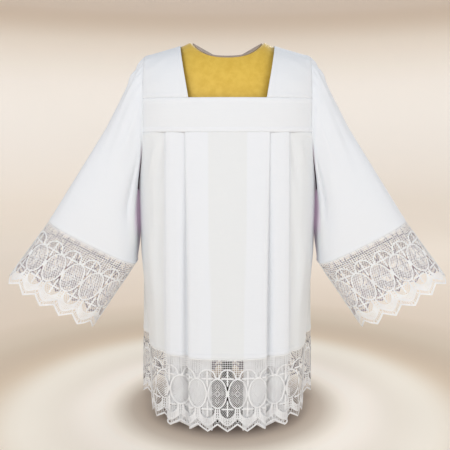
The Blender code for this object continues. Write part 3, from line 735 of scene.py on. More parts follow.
def sleeve(name, side):
    length = SLEEVE_LENGTH - CUFF_SEAM_HALF_GAP
    shares = graded(0.0, length, 0.0055) / SLEEVE_LENGTH
    angles = np.radians(np.arange(0, 360, 1.8))
    places = np.array([sleeve_place(angles, share, side) for share in shares])
    reach = shares * SLEEVE_LENGTH
    round_it = np.degrees(angles) / 360 * CUFF_REPEATS * REPEAT
    wrapped = np.concatenate([places, places[:, :1]], axis=1)
    chart = face_out(Chart(np.append(round_it, CUFF_REPEATS * REPEAT), reach, wrapped), (0.3, -0.02, 0.62))
    u, v = np.meshgrid(round_it, reach)
    lift = seam_relief(length - v) * 1.2
    placed = chart.at(u, v, np.minimum(lift, SEAM_RISE)) * np.array([side, 1, 1])
    cut = np.stack([u, v], -1)
    made = cloth_object(name, placed, cut, sleeve_painted_shade(angles, shares), chart.turned == (side > 0), closed=True)
    return made, chart, np.concatenate([placed, placed[:, :1]], axis=1)


sleeve_left, sleeve_chart_left, sleeve_left_places = sleeve("sleeve_cloth_left", -1)
sleeve_right, sleeve_chart_right = sleeve("sleeve_cloth_right", 1)[:2]
print("a sleeve has", sleeve_left_places.shape[:2], "points and", round(grid_area(sleeve_left_places), 3), "m2")

# %% [markdown]
# ## The pattern of the lace
# Machine lace is thread and air. We draw one repeat flat, in millimetres, as strokes with a width: a net
# heading, an arch over a cross, a row of ovals, a second cross, then two scallops, a ladder of bars and a
# zigzag edge. A cross stands at u = 0 and an oval at half a repeat. Curves are short formulas, and each
# net is a hatch of straight lines that is kept only inside its own region.

# %% The pattern's curves
HALF_TILE = 25.8
ARCH_HALF, ARCH_FOOT, ARCH_RISE = 21.0, 47.5, 22.0
OVAL_MIDDLE, OVAL_HALF, OVAL_HEIGHT = 85.5, 23.2, 36.8
UPPER_CROSS, LOWER_CROSS = (28.8, 66.0, 48.0), (105.0, 143.0, 124.6)  # top, bottom and crossbar
CROSS_REACH, CROSS_BAR = 14.6, 4.2
INNER_FOOT, INNER_FALL = 124.6, 24.6
OUTER_FOOT, OUTER_FALL = 144.8, 21.4
VALLEY, TIP = 165.0, 183.0
EDGE_BAND = 4.2
BAR_PITCH = 2 * HALF_TILE / 12
NET_PITCH = 2 * HALF_TILE / 9
LATTICE_PITCH = NET_PITCH / math.sqrt(2)


def arch_v(u):
    return ARCH_FOOT - ARCH_RISE * np.sqrt(np.clip(1 - (u / ARCH_HALF) ** 2, 0, None))


def oval_reach(u):
    """Half the height of an oval at a distance across the repeat."""
    return OVAL_HEIGHT * np.sqrt(np.clip(1 - ((HALF_TILE - np.abs(u)) / OVAL_HALF) ** 2, 0, None))


def in_oval(u, v):
    return np.abs(v - OVAL_MIDDLE) < oval_reach(u)


def inner_v(u):
    scallop = INNER_FOOT + INNER_FALL * np.sqrt(np.clip(1 - (u / ARCH_HALF) ** 2, 0, None))
    return np.where(np.abs(u) < ARCH_HALF, scallop, OVAL_MIDDLE + oval_reach(u))


def outer_v(u):
    return OUTER_FOOT + OUTER_FALL * (1 - np.abs(u / HALF_TILE) ** 1.7)


def edge_v(u):
    return TIP - (TIP - VALLEY) * np.abs(u) / HALF_TILE


# %% Regions that hold a net
def in_heading(u, v):
    return v < np.where(np.abs(u) < ARCH_HALF, arch_v(u), OVAL_MIDDLE - oval_reach(u))


def in_upper_field(u, v):
    ring = np.hypot(u, v - UPPER_CROSS[2]) < 6.8
    return (np.abs(u) < ARCH_HALF) & (v > arch_v(u)) & (v < 66) & ~in_oval(u, v) & ~ring


def in_lower_field(u, v):
    ring = np.hypot(u, v - LOWER_CROSS[2]) < 6.8
    return (np.abs(u) < ARCH_HALF) & (v > 105) & (v < inner_v(u)) & ~in_oval(u, v) & ~ring


def in_scallop(u, v):
    return (v > inner_v(u)) & (v < outer_v(u))


# %% Strokes of one repeat
BORDER = 0.01  # a thread on the line between two repeats belongs to the one on its left


def line(points, width, closed=False, rise=0.0):
    return np.array(points, float), width, closed, rise


def curve(function, low, high, width, count=22, rise=0.0):
    u = np.linspace(low, high, count)
    return line(np.stack([u, function(u)], -1), width, rise=rise)


def ellipse(u, v, half, height, width, count=16, rise=0.0):
    angles = np.linspace(0, 2 * np.pi, count, endpoint=False)
    return line(np.stack([u + half * np.cos(angles), v + height * np.sin(angles)], -1), width, True, rise)


def hatch(region, angle, pitch, width, step=10.0, shift=0.0):
    """Straight threads at an angle through one tile, kept where the region holds them."""
    way = np.array([math.cos(angle), math.sin(angle)])
    side = np.array([-way[1], way[0]])
    corners = np.array([(u, v) for u in (-HALF_TILE, HALF_TILE) for v in (0.0, TIP)])
    low, high = (corners @ side).min(), (corners @ side).max()
    first, last = (corners @ way).min(), (corners @ way).max()
    strokes = []
    for offset in np.arange(math.ceil((low - shift) / pitch), (high - shift) / pitch):
        along = np.arange(first, last, 0.5)
        points = along[:, None] * way + (offset * pitch + shift) * side
        in_tile = (points[:, 0] > BORDER - HALF_TILE) & (points[:, 0] < BORDER + HALF_TILE)
        inside = in_tile & (points[:, 1] > 0) & region(points[:, 0], points[:, 1])
        edges = np.flatnonzero(np.diff(np.concatenate([[False], inside, [False]]).astype(int)))
        for start, stop in zip(edges[::2], edges[1::2]):
            if stop - start > 3:
                count = max(2, 1 + round((stop - start) * 0.5 / step))
                strokes.append(line(points[np.linspace(start, stop - 1, count).round().astype(int)], width))
    return strokes


def crosses():
    strokes = []
    for top, bottom, bar in (UPPER_CROSS, LOWER_CROSS):
        strokes.append(line([(0, top), (0, (top + bar) / 2), (0, bar), (0, (bottom + bar) / 2), (0, bottom)],
                            CROSS_BAR, rise=0.5))
        strokes.append(line([(-CROSS_REACH, bar), (-8, bar), (0, bar), (8, bar), (CROSS_REACH, bar)],
                            CROSS_BAR, rise=0.5))
        strokes.append(ellipse(0, bar, 7.0, 7.0, 1.7, rise=0.3))
        for end_u, end_v in ((0, top), (0, bottom), (-CROSS_REACH, bar), (CROSS_REACH, bar)):
            strokes.append(ellipse(end_u, end_v, 1.6, 1.6, 1.6, count=6, rise=0.4))
    return strokes


def ovals():
    """The ovals of a repeat, half on either side, each with a four-petalled rosette between two sprigs."""
    strokes = []
    for side in (-1, 1):
        angles = np.linspace(-np.pi / 2, np.pi / 2, 21)
        u = side * (HALF_TILE - OVAL_HALF * np.cos(angles))
        strokes.append(line(np.stack([u, OVAL_MIDDLE + OVAL_HEIGHT * np.sin(angles)], -1), 3.5, rise=0.5))
        middle = side * HALF_TILE
        turn = np.linspace(-np.pi / 2, np.pi / 2, 13)
        petal = 4.0 + 2.6 * np.abs(np.cos(2 * turn))
        strokes.append(line(np.stack([middle - side * petal * np.cos(turn), OVAL_MIDDLE + petal * np.sin(turn)], -1),
                            1.9, rise=0.4))
        for way in (-1, 1):
            rise_v = np.array([9.5, 13.0, 17.0, 21.5, 25.5])
            reach = np.array([0.3, 3.6, 4.6, 3.2, 0.3])
            leaf = np.stack([middle - side * reach, OVAL_MIDDLE + way * rise_v], -1)
            strokes.append(line(leaf, 1.7, rise=0.4))
        side_leaf = [(middle - side * 9.5, OVAL_MIDDLE), (middle - side * 12.5, OVAL_MIDDLE - 4.5),
                     (middle - side * 16.0, OVAL_MIDDLE), (middle - side * 12.5, OVAL_MIDDLE + 4.5)]
        strokes.append(line(side_leaf, 1.6, True, 0.4))
    return strokes


def edge_bars():
    strokes = []
    for place in (-5, -4, -3, -2, -1, 1, 2, 3, 4, 5):
        u = place * BAR_PITCH
        strokes.append(line([(u * 0.97, outer_v(u)), (u * 1.03, edge_v(u) - EDGE_BAND)], 1.9, rise=0.1))
    strokes.append(ellipse(0, 173.2, 3.3, 3.6, 1.7, count=10, rise=0.2))
    strokes.append(line([(0, OUTER_FOOT + OUTER_FALL), (0, 170.0)], 1.8))
    for side in (-1, 1):
        half_ring = np.linspace(-np.pi / 2, np.pi / 2, 7)
        u = side * (HALF_TILE - 3.6 * np.cos(half_ring))
        strokes.append(line(np.stack([u, 154.8 + 3.8 * np.sin(half_ring)], -1), 1.8, rise=0.2))
    strokes.append(line([(HALF_TILE, OUTER_FOOT), (HALF_TILE, 151.0)], 1.8))
    strokes.append(line([(HALF_TILE, 158.6), (HALF_TILE, VALLEY - 3)], 1.8))
    return strokes


def one_repeat():
    strokes = crosses() + ovals() + edge_bars()
    strokes.append(line([(u, 1.2) for u in np.linspace(-HALF_TILE, HALF_TILE, 10)], 2.6))
    strokes.append(curve(arch_v, -ARCH_HALF, ARCH_HALF, 3.3, 19, rise=0.4))
    strokes.append(curve(inner_v, -ARCH_HALF, ARCH_HALF, 2.8, 19, rise=0.4))
    strokes.append(curve(outer_v, -HALF_TILE, HALF_TILE, 3.0, 15, rise=0.4))
    strokes.append(line([(-HALF_TILE, VALLEY - EDGE_BAND * 0.55), (-HALF_TILE / 2, (VALLEY + TIP - EDGE_BAND) / 2),
                         (0, TIP - EDGE_BAND * 0.55), (HALF_TILE / 2, (VALLEY + TIP - EDGE_BAND) / 2),
                         (HALF_TILE, VALLEY - EDGE_BAND * 0.55)], EDGE_BAND, rise=0.1))
    strokes.append(line([(0, 78.5), (0, 85.5), (0, 93.5)], 3.6, rise=0.2))
    strokes.append(line([(HALF_TILE, 45.5), (HALF_TILE, 50.5)], 5.0, rise=0.2))
    for side in (-1, 1):
        strokes.append(line([(side * 20.5, 46.5), (side * 23.5, 49.5)], 2.2, rise=0.2))
        strokes.append(line([(side * 20.5, 125.0), (side * 23.5, 122.0)], 2.2, rise=0.2))
    strokes += hatch(in_heading, 0.0, 4.9, 1.9, shift=-0.2)
    strokes += hatch(in_heading, math.radians(90), NET_PITCH, 1.9)
    for slant in (-1, 1):
        strokes += hatch(in_oval, slant * math.radians(45), LATTICE_PITCH, 1.6)
        strokes += hatch(in_upper_field, slant * math.radians(52), 4.4, 1.0)
        strokes += hatch(in_lower_field, slant * math.radians(52), 4.4, 1.0)
    strokes += hatch(in_scallop, math.radians(90), BAR_PITCH, 2.2)
    for share in (0.27, 0.52, 0.77):
        strokes.append(curve(lambda u, s=share: mix(inner_v(u), outer_v(u), s), -HALF_TILE, HALF_TILE, 2.2, 13))
    return strokes


REPEAT_STROKES = one_repeat()
print("one repeat is", len(REPEAT_STROKES), "strokes of thread")

# %% [markdown]
# ## Threads from strokes
# Each stroke becomes a small four-sided tube: two points across its width in the flat pattern, and one
# above and one below, lifted off the chart. Its facets stay flat, as satin stitches lie. All the points of
# a piece go through its chart in one call, so a whole hem of threads hangs in a second. Strokes are cut where
# the strip of lace ends at a seam. In the layers that are folded under, the threads are pressed broad, and
# they fill the net in front with white.


# %% Laying threads on a chart
THREAD_HEIGHT = 0.30  # a thread's height as a share of its width
THREAD_MOST = 0.0011
BEHIND = tuple((PLEATS[a][0] + 0.002, PLEATS[b][0]) for a, b in ((2, 4), (6, 12)))  # folded under, along the cloth
BEHIND_WIDTH = 3.3
NET_MOST = 0.0020  # threads up to this width belong to the nets
HEM_NET, CUFF_NET = 0.60, 0.86  # how wide each piece's net is spun
FOLD_REACH, FOLD_STEP = 0.0045, 0.0018


def clipped(points, low, high):
    """The stretches of a line of points between two ends of the strip."""
    inside = (points[:, 0] >= low) & (points[:, 0] <= high)
    if inside.all():
        return [points]
    stretches, current = [], []
    for k in range(len(points)):
        if k and inside[k] != inside[k - 1]:
            bound = low if min(points[k, 0], points[k - 1, 0]) < low else high
            share = (bound - points[k - 1, 0]) / (points[k, 0] - points[k - 1, 0])
            current.append(mix(points[k - 1], points[k], share))
            if not inside[k]:
                stretches.append(np.array(current))
                current = []
        if inside[k]:
            current.append(points[k])
    if len(current) > 1:
        stretches.append(np.array(current))
    return [stretch for stretch in stretches if len(stretch) > 1]


def refined(points, folds):
    """More points where a thread crosses a fold of a pleat, so that it bends with the cloth."""
    pieces = []
    for start, stop in zip(points[:-1], points[1:]):
        low, high = min(start[0], stop[0]) - FOLD_REACH, max(start[0], stop[0]) + FOLD_REACH
        near = any(low < fold < high for fold in folds) and abs(start[0] - stop[0]) > FOLD_STEP
        count = math.ceil(math.dist(start, stop) / FOLD_STEP) if near else 1
        pieces.append(np.linspace(start, stop, count, endpoint=False))
    return np.concatenate(pieces + [points[-1:]])


def thread_tubes(strokes, chart, top, side=1):
    """Points and quads of every stroke, laid on a chart from a drop at the top of the lace."""
    flat_u, flat_v, lifts, quads = [], [], [], []
    start = 0
    for points, width, closed, rise in strokes:
        ahead = np.roll(points, -1, axis=0) - points
        if closed:
            way = ahead + np.roll(ahead, 1, axis=0)
        else:
            way = np.gradient(points, axis=0)
        way /= np.maximum(np.linalg.norm(way, axis=1, keepdims=True), 1e-12)
        edge = np.stack([-way[:, 1], way[:, 0]], -1) * (width / 2)
        height = min(width * THREAD_HEIGHT, THREAD_MOST) / 2
        count = len(points)
        flat_u.append(np.stack([points[:, 0] + edge[:, 0], points[:, 0], points[:, 0] - edge[:, 0], points[:, 0]], 1))
        flat_v.append(np.stack([points[:, 1] + edge[:, 1], points[:, 1], points[:, 1] - edge[:, 1], points[:, 1]], 1))
        lifts.append(np.tile([rise, rise + height, rise, rise - height], (count, 1)))
        rings = start + np.arange(count * 4).reshape(count, 4)
        following = np.roll(rings, -1, axis=0) if closed else rings[1:]
        here = rings if closed else rings[:-1]
        for k in range(4):
            j = (k + 1) % 4
            quads.append(np.stack([here[:, k], here[:, j], following[:, j], following[:, k]], -1))
        if not closed:
            quads.append(np.array([rings[0, ::-1], rings[-1]]))
        start += count * 4
    u, v = np.concatenate(flat_u).ravel(), np.concatenate(flat_v).ravel()
    places = chart.at(u, v + top, np.concatenate(lifts).ravel()) * np.array([side, 1, 1])
    quads = np.concatenate(quads)
    return places, quads[:, ::-1] if chart.turned == (side > 0) else quads, np.stack([u, v], -1)


def threads_object(name, places, quads, cut):
    mesh = bpy.data.meshes.new(name)
    mesh.from_pydata(places.tolist(), [], quads.tolist())
    flat = mesh.attributes.new("cut", "FLOAT_VECTOR", "POINT")
    flat.data.foreach_set("vector", np.concatenate([cut, np.zeros((len(cut), 1))], axis=1).ravel())
    made = bpy.data.objects.new(name, mesh)
    bpy.context.scene.collection.objects.link(made)
    return made


def lace_strip(name, chart, low, high, top, side=1, net=CUFF_NET, folds=()):
    """A strip of lace between two ends of a chart, with the flat area of its threads."""
    strokes = []
    for repeat in range(math.floor(low / REPEAT + 0.5), math.ceil(high / REPEAT - 0.5) + 1):
        for points, width, closed, rise in REPEAT_STROKES:
            placed = points * 0.001 + (repeat * REPEAT, 0.0)
            whole = placed[:, 0].min() >= low and placed[:, 0].max() <= high
            if closed and not whole:
                placed = np.concatenate([placed, placed[:1]])
            for stretch in [placed] if whole else clipped(placed, low, high):
                if folds and not (closed and whole):
                    stretch = refined(stretch, folds)
                hidden = folds and any(a < abs(stretch[:, 0].mean()) < b for a, b in BEHIND)
                spun = width * 0.001
                if spun < NET_MOST:
                    spun *= net * (BEHIND_WIDTH if hidden else 1)
                strokes.append((stretch, spun, closed and whole, rise * 0.001))
    places, quads, cut = thread_tubes(strokes, chart, top, side)
    made = threads_object(name, places, quads, cut)
    area = sum(width * np.linalg.norm(np.diff(points, axis=0), axis=1).sum() for points, width, _, _ in strokes)
    area = min(area, 0.97 * (high - low) * LACE_DROP)  # where threads cross they cover the strip only once
    print(name, "has", len(strokes), "threads,", 2 * len(quads), "triangles and", round(area, 4), "m2 of thread")
    return made, area


# %% [markdown]
# ## The lace of the hem
# The hem lace hangs in the same folds as the panels, because it reads the same charts, just further down.

# %% Hem lace
LACE_TOP = YOKE_SEAM_Z - LACE_SEAM_Z + SEAM_HALF_GAP
HEM_END = SIDE_CLOTH - SIDE_SEAM_HALF_GAP
FOLDS = tuple(side * row[0] for row in PLEATS if row[4] for side in (-1, 1))
hem_lace_front, lace_area_front = lace_strip(
    "hem_lace_threads_front", body[True], -HEM_END, HEM_END, LACE_TOP, 1, HEM_NET, FOLDS)
hem_lace_back, lace_area_back = lace_strip(
    "hem_lace_threads_back", body[False], -HEM_END, HEM_END, LACE_TOP, 1, HEM_NET, FOLDS)

# %% [markdown]
# ## The lace of the cuffs
# A cuff's lace is a tube of thirteen repeats. It flutes a little towards its free edge.

# %% Cuff lace
CUFF_FLUTES = ((5, 0.4, 0.0022), (8, 1.9, 0.0014))  # waves round the cuff, their phase, their height


def cuff_chart():
    angles = np.radians(np.arange(0, 361, 1.0))
    ring = cuff_place(angles, np.zeros_like(angles))
    lengths = np.concatenate([[0.0], np.cumsum(np.linalg.norm(np.diff(ring, axis=0), axis=1))])
    across = lengths * CUFF_REPEATS * REPEAT / lengths[-1]
    down = np.linspace(0, LACE_DROP + 0.002, 40)
    places = []
    for drop in down:
        flute = sum(height * np.sin(waves * angles + phase) for waves, phase, height in CUFF_FLUTES)
        row = cuff_place(angles, np.full_like(angles, drop))
        middle = row[:-1].mean(axis=0)
        out = row - middle
        out /= np.linalg.norm(out, axis=1, keepdims=True)
        places.append(row + out * (flute * (drop / LACE_DROP) ** 1.5)[:, None])
    return face_out(Chart(across, down, np.array(places)), (0.40, -0.05, 0.385))


cuff = cuff_chart()
HALF_CUFF = CUFF_REPEATS * REPEAT / 2
CUFF_END_GAP = 0.0002
cuff_lace = {}
for word, side in (("left", -1), ("right", 1)):
    for place, low, high in (("front", 0.0, HALF_CUFF), ("back", HALF_CUFF, 2 * HALF_CUFF)):
        cuff_lace[word, place] = lace_strip(f"cuff_lace_threads_{word}_{place}", cuff, low + CUFF_END_GAP,
                                            high - CUFF_END_GAP, CUFF_SEAM_HALF_GAP, side)

# %% [markdown]
# ## Sewing
# A topstitch is a row of short threads, each half sunk into the cloth. They are laid through the same
# charts as the lace. A row follows a line of flat coordinates, so it keeps its distance from the seam
# wherever the seam goes.

# %% Stitches
STITCH_PITCH, STITCH_LENGTH, STITCH_WIDTH = 0.0030, 0.0023, 0.00055


def stitch_row(points, lift=0.0010):
    """Strokes of a row of stitches along a line of flat coordinates."""
    points = np.array(points, float)
    lengths = np.concatenate([[0.0], np.cumsum(np.linalg.norm(np.diff(points, axis=0), axis=1))])
    starts = np.arange(STITCH_PITCH / 2, lengths[-1] - STITCH_PITCH, STITCH_PITCH)
    strokes = []
    for start in starts:
        at = start + np.array([0.0, 0.2, 0.8, 1.0]) * STITCH_LENGTH
        line_u, line_v = np.interp(at, lengths, points[:, 0]), np.interp(at, lengths, points[:, 1])
        strokes.append((np.stack([line_u, line_v], -1), STITCH_WIDTH, False, lift))
    return strokes


def sewing(name, rows, chart, side=1):
    strokes = [stroke for row in rows for stroke in stitch_row(row)]
    made = threads_object(name, *thread_tubes(strokes, chart, 0.0, side))
    print(name, "has", len(strokes), "stitches")
    return made


def level_line(low, high, drop, step=0.01):
    return [(u, drop) for u in np.arange(low, high + step, step).clip(low, high)]


# %% Rows of sewing
ALLOWANCE_STITCH = SEAM_BAND - 0.0015
hem_line = YOKE_SEAM_Z - LACE_SEAM_Z
seam_rows = {}
for front, word in ((True, "front"), (False, "back")):
    hem_rows = [level_line(-SIDE_CLOTH + 0.004, SIDE_CLOTH - 0.004, hem_line - inset, 0.004)
                for inset in (0.0022, ALLOWANCE_STITCH + 0.002)]
    seam_rows["skirt", word] = sewing(f"hem_stitches_{word}", hem_rows, body[front])
    chart = yoke_front_chart if front else yoke_back_chart
    height = chart.down[-1]
    rows = [level_line(-ARMHOLE_X + 0.003, ARMHOLE_X - 0.003, drop)
            for drop in (ALLOWANCE_STITCH, height - ALLOWANCE_STITCH, height - 0.0022)]
    rows += [[(x, 0.0), (x, height)] for x in (-ARMHOLE_X + ALLOWANCE_STITCH, ARMHOLE_X - ALLOWANCE_STITCH)]
    seam_rows["yoke", word] = sewing(f"yoke_stitches_{word}", rows, chart)
strap_width, strap_length = strap_chart.across[-1], strap_chart.down[-1]
for word, side in (("left", -1), ("right", 1)):
    rows = [[(inset, 0.001), (inset, strap_length - 0.001)] for inset in (0.0065, strap_width - ALLOWANCE_STITCH)]
    rows += [level_line(0.003, strap_width - 0.003, drop) for drop in (0.0022, strap_length - 0.0022)]
    seam_rows["strap", word] = sewing(f"strap_stitches_{word}", rows, strap_chart, side)
    chart = sleeve_chart_left if side < 0 else sleeve_chart_right
    rows = [level_line(0.0, CUFF_REPEATS * REPEAT, chart.down[-1] - inset) for inset in (0.0022, ALLOWANCE_STITCH)]
    seam_rows["sleeve", word] = sewing(f"sleeve_stitches_{word}", rows, chart, side)

# %% [markdown]
# ## The dress form
# Only a little of the form shows, in the square neck, but it is made whole, because the part is seen from
# every side. It has no arms and no head: level sections up to the shoulders, then a surface that follows
# the straps to the rim of the neck and a shallow scoop. Subdivision turns the few rings into soft padding.

# %% Sizes of the form
# height, half width, and depth in front and behind
FORM = (
    (0.300, 0.1450, 0.1050, 0.1050),
    (0.306, 0.1530, 0.1120, 0.1120),
    (0.360, 0.1640, 0.1180, 0.1200),
    (0.430, 0.1680, 0.1200, 0.1240),
    (0.520, 0.1520, 0.1080, 0.1080),
    (0.590, 0.1400, 0.0990, 0.0960),
    (0.670, 0.1520, 0.1080, 0.1000),
    (0.750, 0.1740, 0.1200, 0.1040),
    (0.810, 0.1880, 0.1185, 0.1030),
    (0.860, 0.1980, 0.1060, 0.0960),
)
FORM_SHARE = 0.93
FORM_CLEAR = 0.0014
FORM_SHOULDER = (0.2030, 0.0960, 0.0880)
FORM_NECK = (0.0955, 0.0750, 0.0550)
FORM_NECK_Z, FORM_NECK_MIDDLE_Z = 0.965, 0.912
FORM_COLUMNS = 56
CAP_SHARE, CAP_THICKNESS, CAP_GAP = 0.93, 0.003, 0.0003


# %% The form's surfaces
def form_ring(half, front, back):
    along, across = rounded(2 * np.pi * np.arange(FORM_COLUMNS) / FORM_COLUMNS, BODY_ROUND)
    return half * across, -along * np.where(along > 0, front, back)


def form_shoulder_z(x, y):
    """Height of the form's upper surface, just under the straps and up to the rim of the neck."""
    share = np.clip((NECK_POINT_X - np.abs(x)) / (NECK_POINT_X - FORM_NECK[0]), 0.0, 1.0)
    ridge = mix(np.minimum(shoulder_line(x), NECK_POINT_Z) - FORM_CLEAR, FORM_NECK_Z, share)
    away = y / (FORM_SHARE * np.where(y < 0, body_depth(x, True), body_depth(x, False)))
    return YOKE_SEAM_Z + (ridge - YOKE_SEAM_Z) * np.sqrt(np.maximum(0.0, 1 - away * away))


def form_neck_ring(share, rise=0.0):
    x, y = form_ring(*FORM_NECK)
    z = mix(FORM_NECK_MIDDLE_Z, form_shoulder_z(x, y), share) + rise
    return np.stack([x * share, y * share, z], -1)


def closed_loft(name, rings, first, last):
    """A closed surface through rings, drawn in to a point at both ends."""
    rings = np.array(rings)
    count, columns = rings.shape[:2]
    index = np.arange(count * columns).reshape(count, columns)
    faces = []
    for row in range(count - 1):
        for column in range(columns):
            nearby = (column + 1) % columns
            faces.append((index[row, column], index[row, nearby], index[row + 1, nearby], index[row + 1, column]))
    low, high = count * columns, count * columns + 1
    for column in range(columns):
        nearby = (column + 1) % columns
        faces += [(low, index[0, nearby], index[0, column]), (high, index[-1, column], index[-1, nearby])]
    mesh = bpy.data.meshes.new(name)
    mesh.from_pydata(np.concatenate([rings.reshape(-1, 3), [first, last]]).tolist(), [],
                     [tuple(int(i) for i in face) for face in faces])
    mesh.shade_smooth()
    made = bpy.data.objects.new(name, mesh)
    bpy.context.scene.collection.objects.link(made)
    return made


def level_ring(z, half, front, back):
    x, y = form_ring(half, front, back)
    return np.stack([x, y, np.full_like(x, z)], -1)


def shoulder_ring(share):
    x, y = form_ring(*mix(np.array(FORM_SHOULDER), np.array(FORM_NECK), share))
    return np.stack([x, y, form_shoulder_z(x, y)], -1)


# %% The torso and the cap in its neck
torso_rings = [level_ring(*row) for row in FORM]
torso_rings += [shoulder_ring(share) for share in (0.0, 0.15, 0.3, 0.45, 0.6, 0.75, 0.88, 0.97)]
torso_rings += [form_neck_ring(share) for share in (1.0, 0.97, 0.75, 0.5, 0.25)]
torso = closed_loft("padded_torso", torso_rings, (0, 0, FORM[0][0]), (0, 0, FORM_NECK_MIDDLE_Z))
cap_rings = [form_neck_ring(share, CAP_GAP) for share in (0.2, 0.5, CAP_SHARE - 0.03, CAP_SHARE)]
cap_rings += [form_neck_ring(share, CAP_GAP + CAP_THICKNESS) for share in (CAP_SHARE, CAP_SHARE - 0.03, 0.5, 0.2)]
cap = closed_loft("neck_cap_disc", cap_rings, (0, 0, FORM_NECK_MIDDLE_Z + CAP_GAP),
                  (0, 0, FORM_NECK_MIDDLE_Z + CAP_GAP + CAP_THICKNESS))
for piece in (torso, cap):
    soften = piece.modifiers.new("Padding", "SUBSURF")
    soften.levels = soften.render_levels = 1
print("the form has", len(torso_rings), "rings of", FORM_COLUMNS, "points")

# %% [markdown]
# ## Materials
# All finishes are procedural. A small helper builds the nodes, and each finish then reads like a recipe:
# where the pattern lies, what it does to the colour, and what it does to the bump. Cloth reads its flat cut
# from a point attribute, so the weave runs with the threads of the piece and turns over with every pleat.

# %% Helpers for nodes
COLOURS = {
    # the single layer's colour is a painted shade: the dark inside seen through one layer
    "doubled_cloth": (0.80, 0.835, 0.885, 1), "single_cloth_painted_shade": (0.775, 0.805, 0.83, 1),
    "thread": (0.88, 0.90, 0.92, 1), "sewing": (0.74, 0.77, 0.82, 1),
    # the mauve is a painted shade for the gap beside a sleeve, and the colour after it a painted glow there
    "shaded": (0.74, 0.60, 0.74, 1), "painted_glow": (0.088, 0.078, 0.086, 1),
    # the two inside colours are painted shade for the inner side of cloth and lace
    "inside_painted_shade": (0.34, 0.26, 0.33, 1), "inside_painted_shade_deep": (0.22, 0.165, 0.215, 1),
    "gold_light": (0.78, 0.54, 0.09, 1), "gold_deep": (0.64, 0.40, 0.045, 1),
    "cap_light": (0.46, 0.375, 0.32, 1), "cap_deep": (0.39, 0.315, 0.265, 1),
    "metal_light": (0.060, 0.055, 0.050, 1), "metal_deep": (0.030, 0.027, 0.025, 1),
}


class Recipe:
    """One material and its nodes."""

    def __init__(self, name, roughness, **settings):
        self.material = bpy.data.materials.new(name)
        self.material.use_nodes = True
        self.tree = self.material.node_tree
        self.shader = self.tree.nodes["Principled BSDF"]
        self.shader.inputs["Roughness"].default_value = roughness
        for socket, value in settings.items():
            self.shader.inputs[socket.replace("_", " ")].default_value = value

    def put(self, kind, links=(), values=(), **properties):
        """A node with its properties, its plain values and its links, both by socket name or number."""
        node = self.tree.nodes.new(kind)
        for name, value in properties.items():
            setattr(node, name, value)
        for socket, value in dict(values).items():
            node.inputs[socket].default_value = value
        for socket, source in dict(links).items():
            self.tree.links.new(source, node.inputs[socket])
        return node

    def cut(self, scale):
        """The flat cut of the piece, scaled."""
        flat = self.put("ShaderNodeAttribute", attribute_name="cut")
        return self.put("ShaderNodeMapping", {"Vector": flat.outputs["Vector"]}, {"Scale": scale}).outputs[0]

    def place(self):
        return self.put("ShaderNodeTexCoord").outputs["Object"]

    def noise(self, place, scale, detail=3.0, roughness=0.5):
        values = {"Scale": scale, "Detail": detail, "Roughness": roughness}
        return self.put("ShaderNodeTexNoise", {"Vector": place}, values).outputs[0]

    def bands(self, place, direction, pitch, distortion=0.0):
        """Even bands with a pitch in metres. Blender's wave texture repeats every 2 pi / 20."""
        values = {"Scale": math.pi / 10 / pitch, "Distortion": distortion}
        return self.put("ShaderNodeTexWave", {"Vector": place}, values, bands_direction=direction).outputs["Fac"]

    def math(self, operation, a, b):
        node = self.put("ShaderNodeMath", operation=operation)
        for socket, value in ((0, a), (1, b)):
            if isinstance(value, float):
                node.inputs[socket].default_value = value
            else:
                self.tree.links.new(value, node.inputs[socket])
        return node.outputs[0]

    def blend(self, share, a, b):
        node = self.put("ShaderNodeMix", {0: share}, data_type="RGBA")
        for socket, value in ((6, a), (7, b)):
            if isinstance(value, tuple):
                node.inputs[socket].default_value = value
            else:
                self.tree.links.new(value, node.inputs[socket])
        return node.outputs[2]

    def ramp(self, value, low, high):
        """A soft change of range to 0 to 1."""
        node = self.put("ShaderNodeMapRange", {"Value": value}, {"From Min": low, "From Max": high},
                        interpolation_type="SMOOTHSTEP")
        return node.outputs[0]

    def bump(self, height, distance, strength=1.0, under=None):
        values = {"Strength": strength, "Distance": distance}
        links = {"Height": height} if under is None else {"Height": height, "Normal": under}
        return self.put("ShaderNodeBump", links, values).outputs[0]

    def finish(self, colour, normal, roughness=None):
        self.tree.links.new(colour, self.shader.inputs["Base Color"])
        self.tree.links.new(normal, self.shader.inputs["Normal"])
        if roughness is not None:
            self.tree.links.new(roughness, self.shader.inputs["Roughness"])
        return self.material


# %% [markdown]
# ## White cloth
# A surplice is cut from a smooth blend of cotton. Its plain weave is two sets of fine bands that cross. Soft
# wrinkles of a few centimetres break the light a little. Doubled cloth keeps a cool, bright colour; where one
# layer hangs it is painted a little grey and warm, a painted shade of the dark inside showing through. In the
# narrow gap beside a sleeve a painted mauve shade darkens the cloth, and a faint painted glow stands in for
# light that comes through the thin cloth and keeps it from going black.

# %% The cloth
THREAD_PITCH = 0.0009


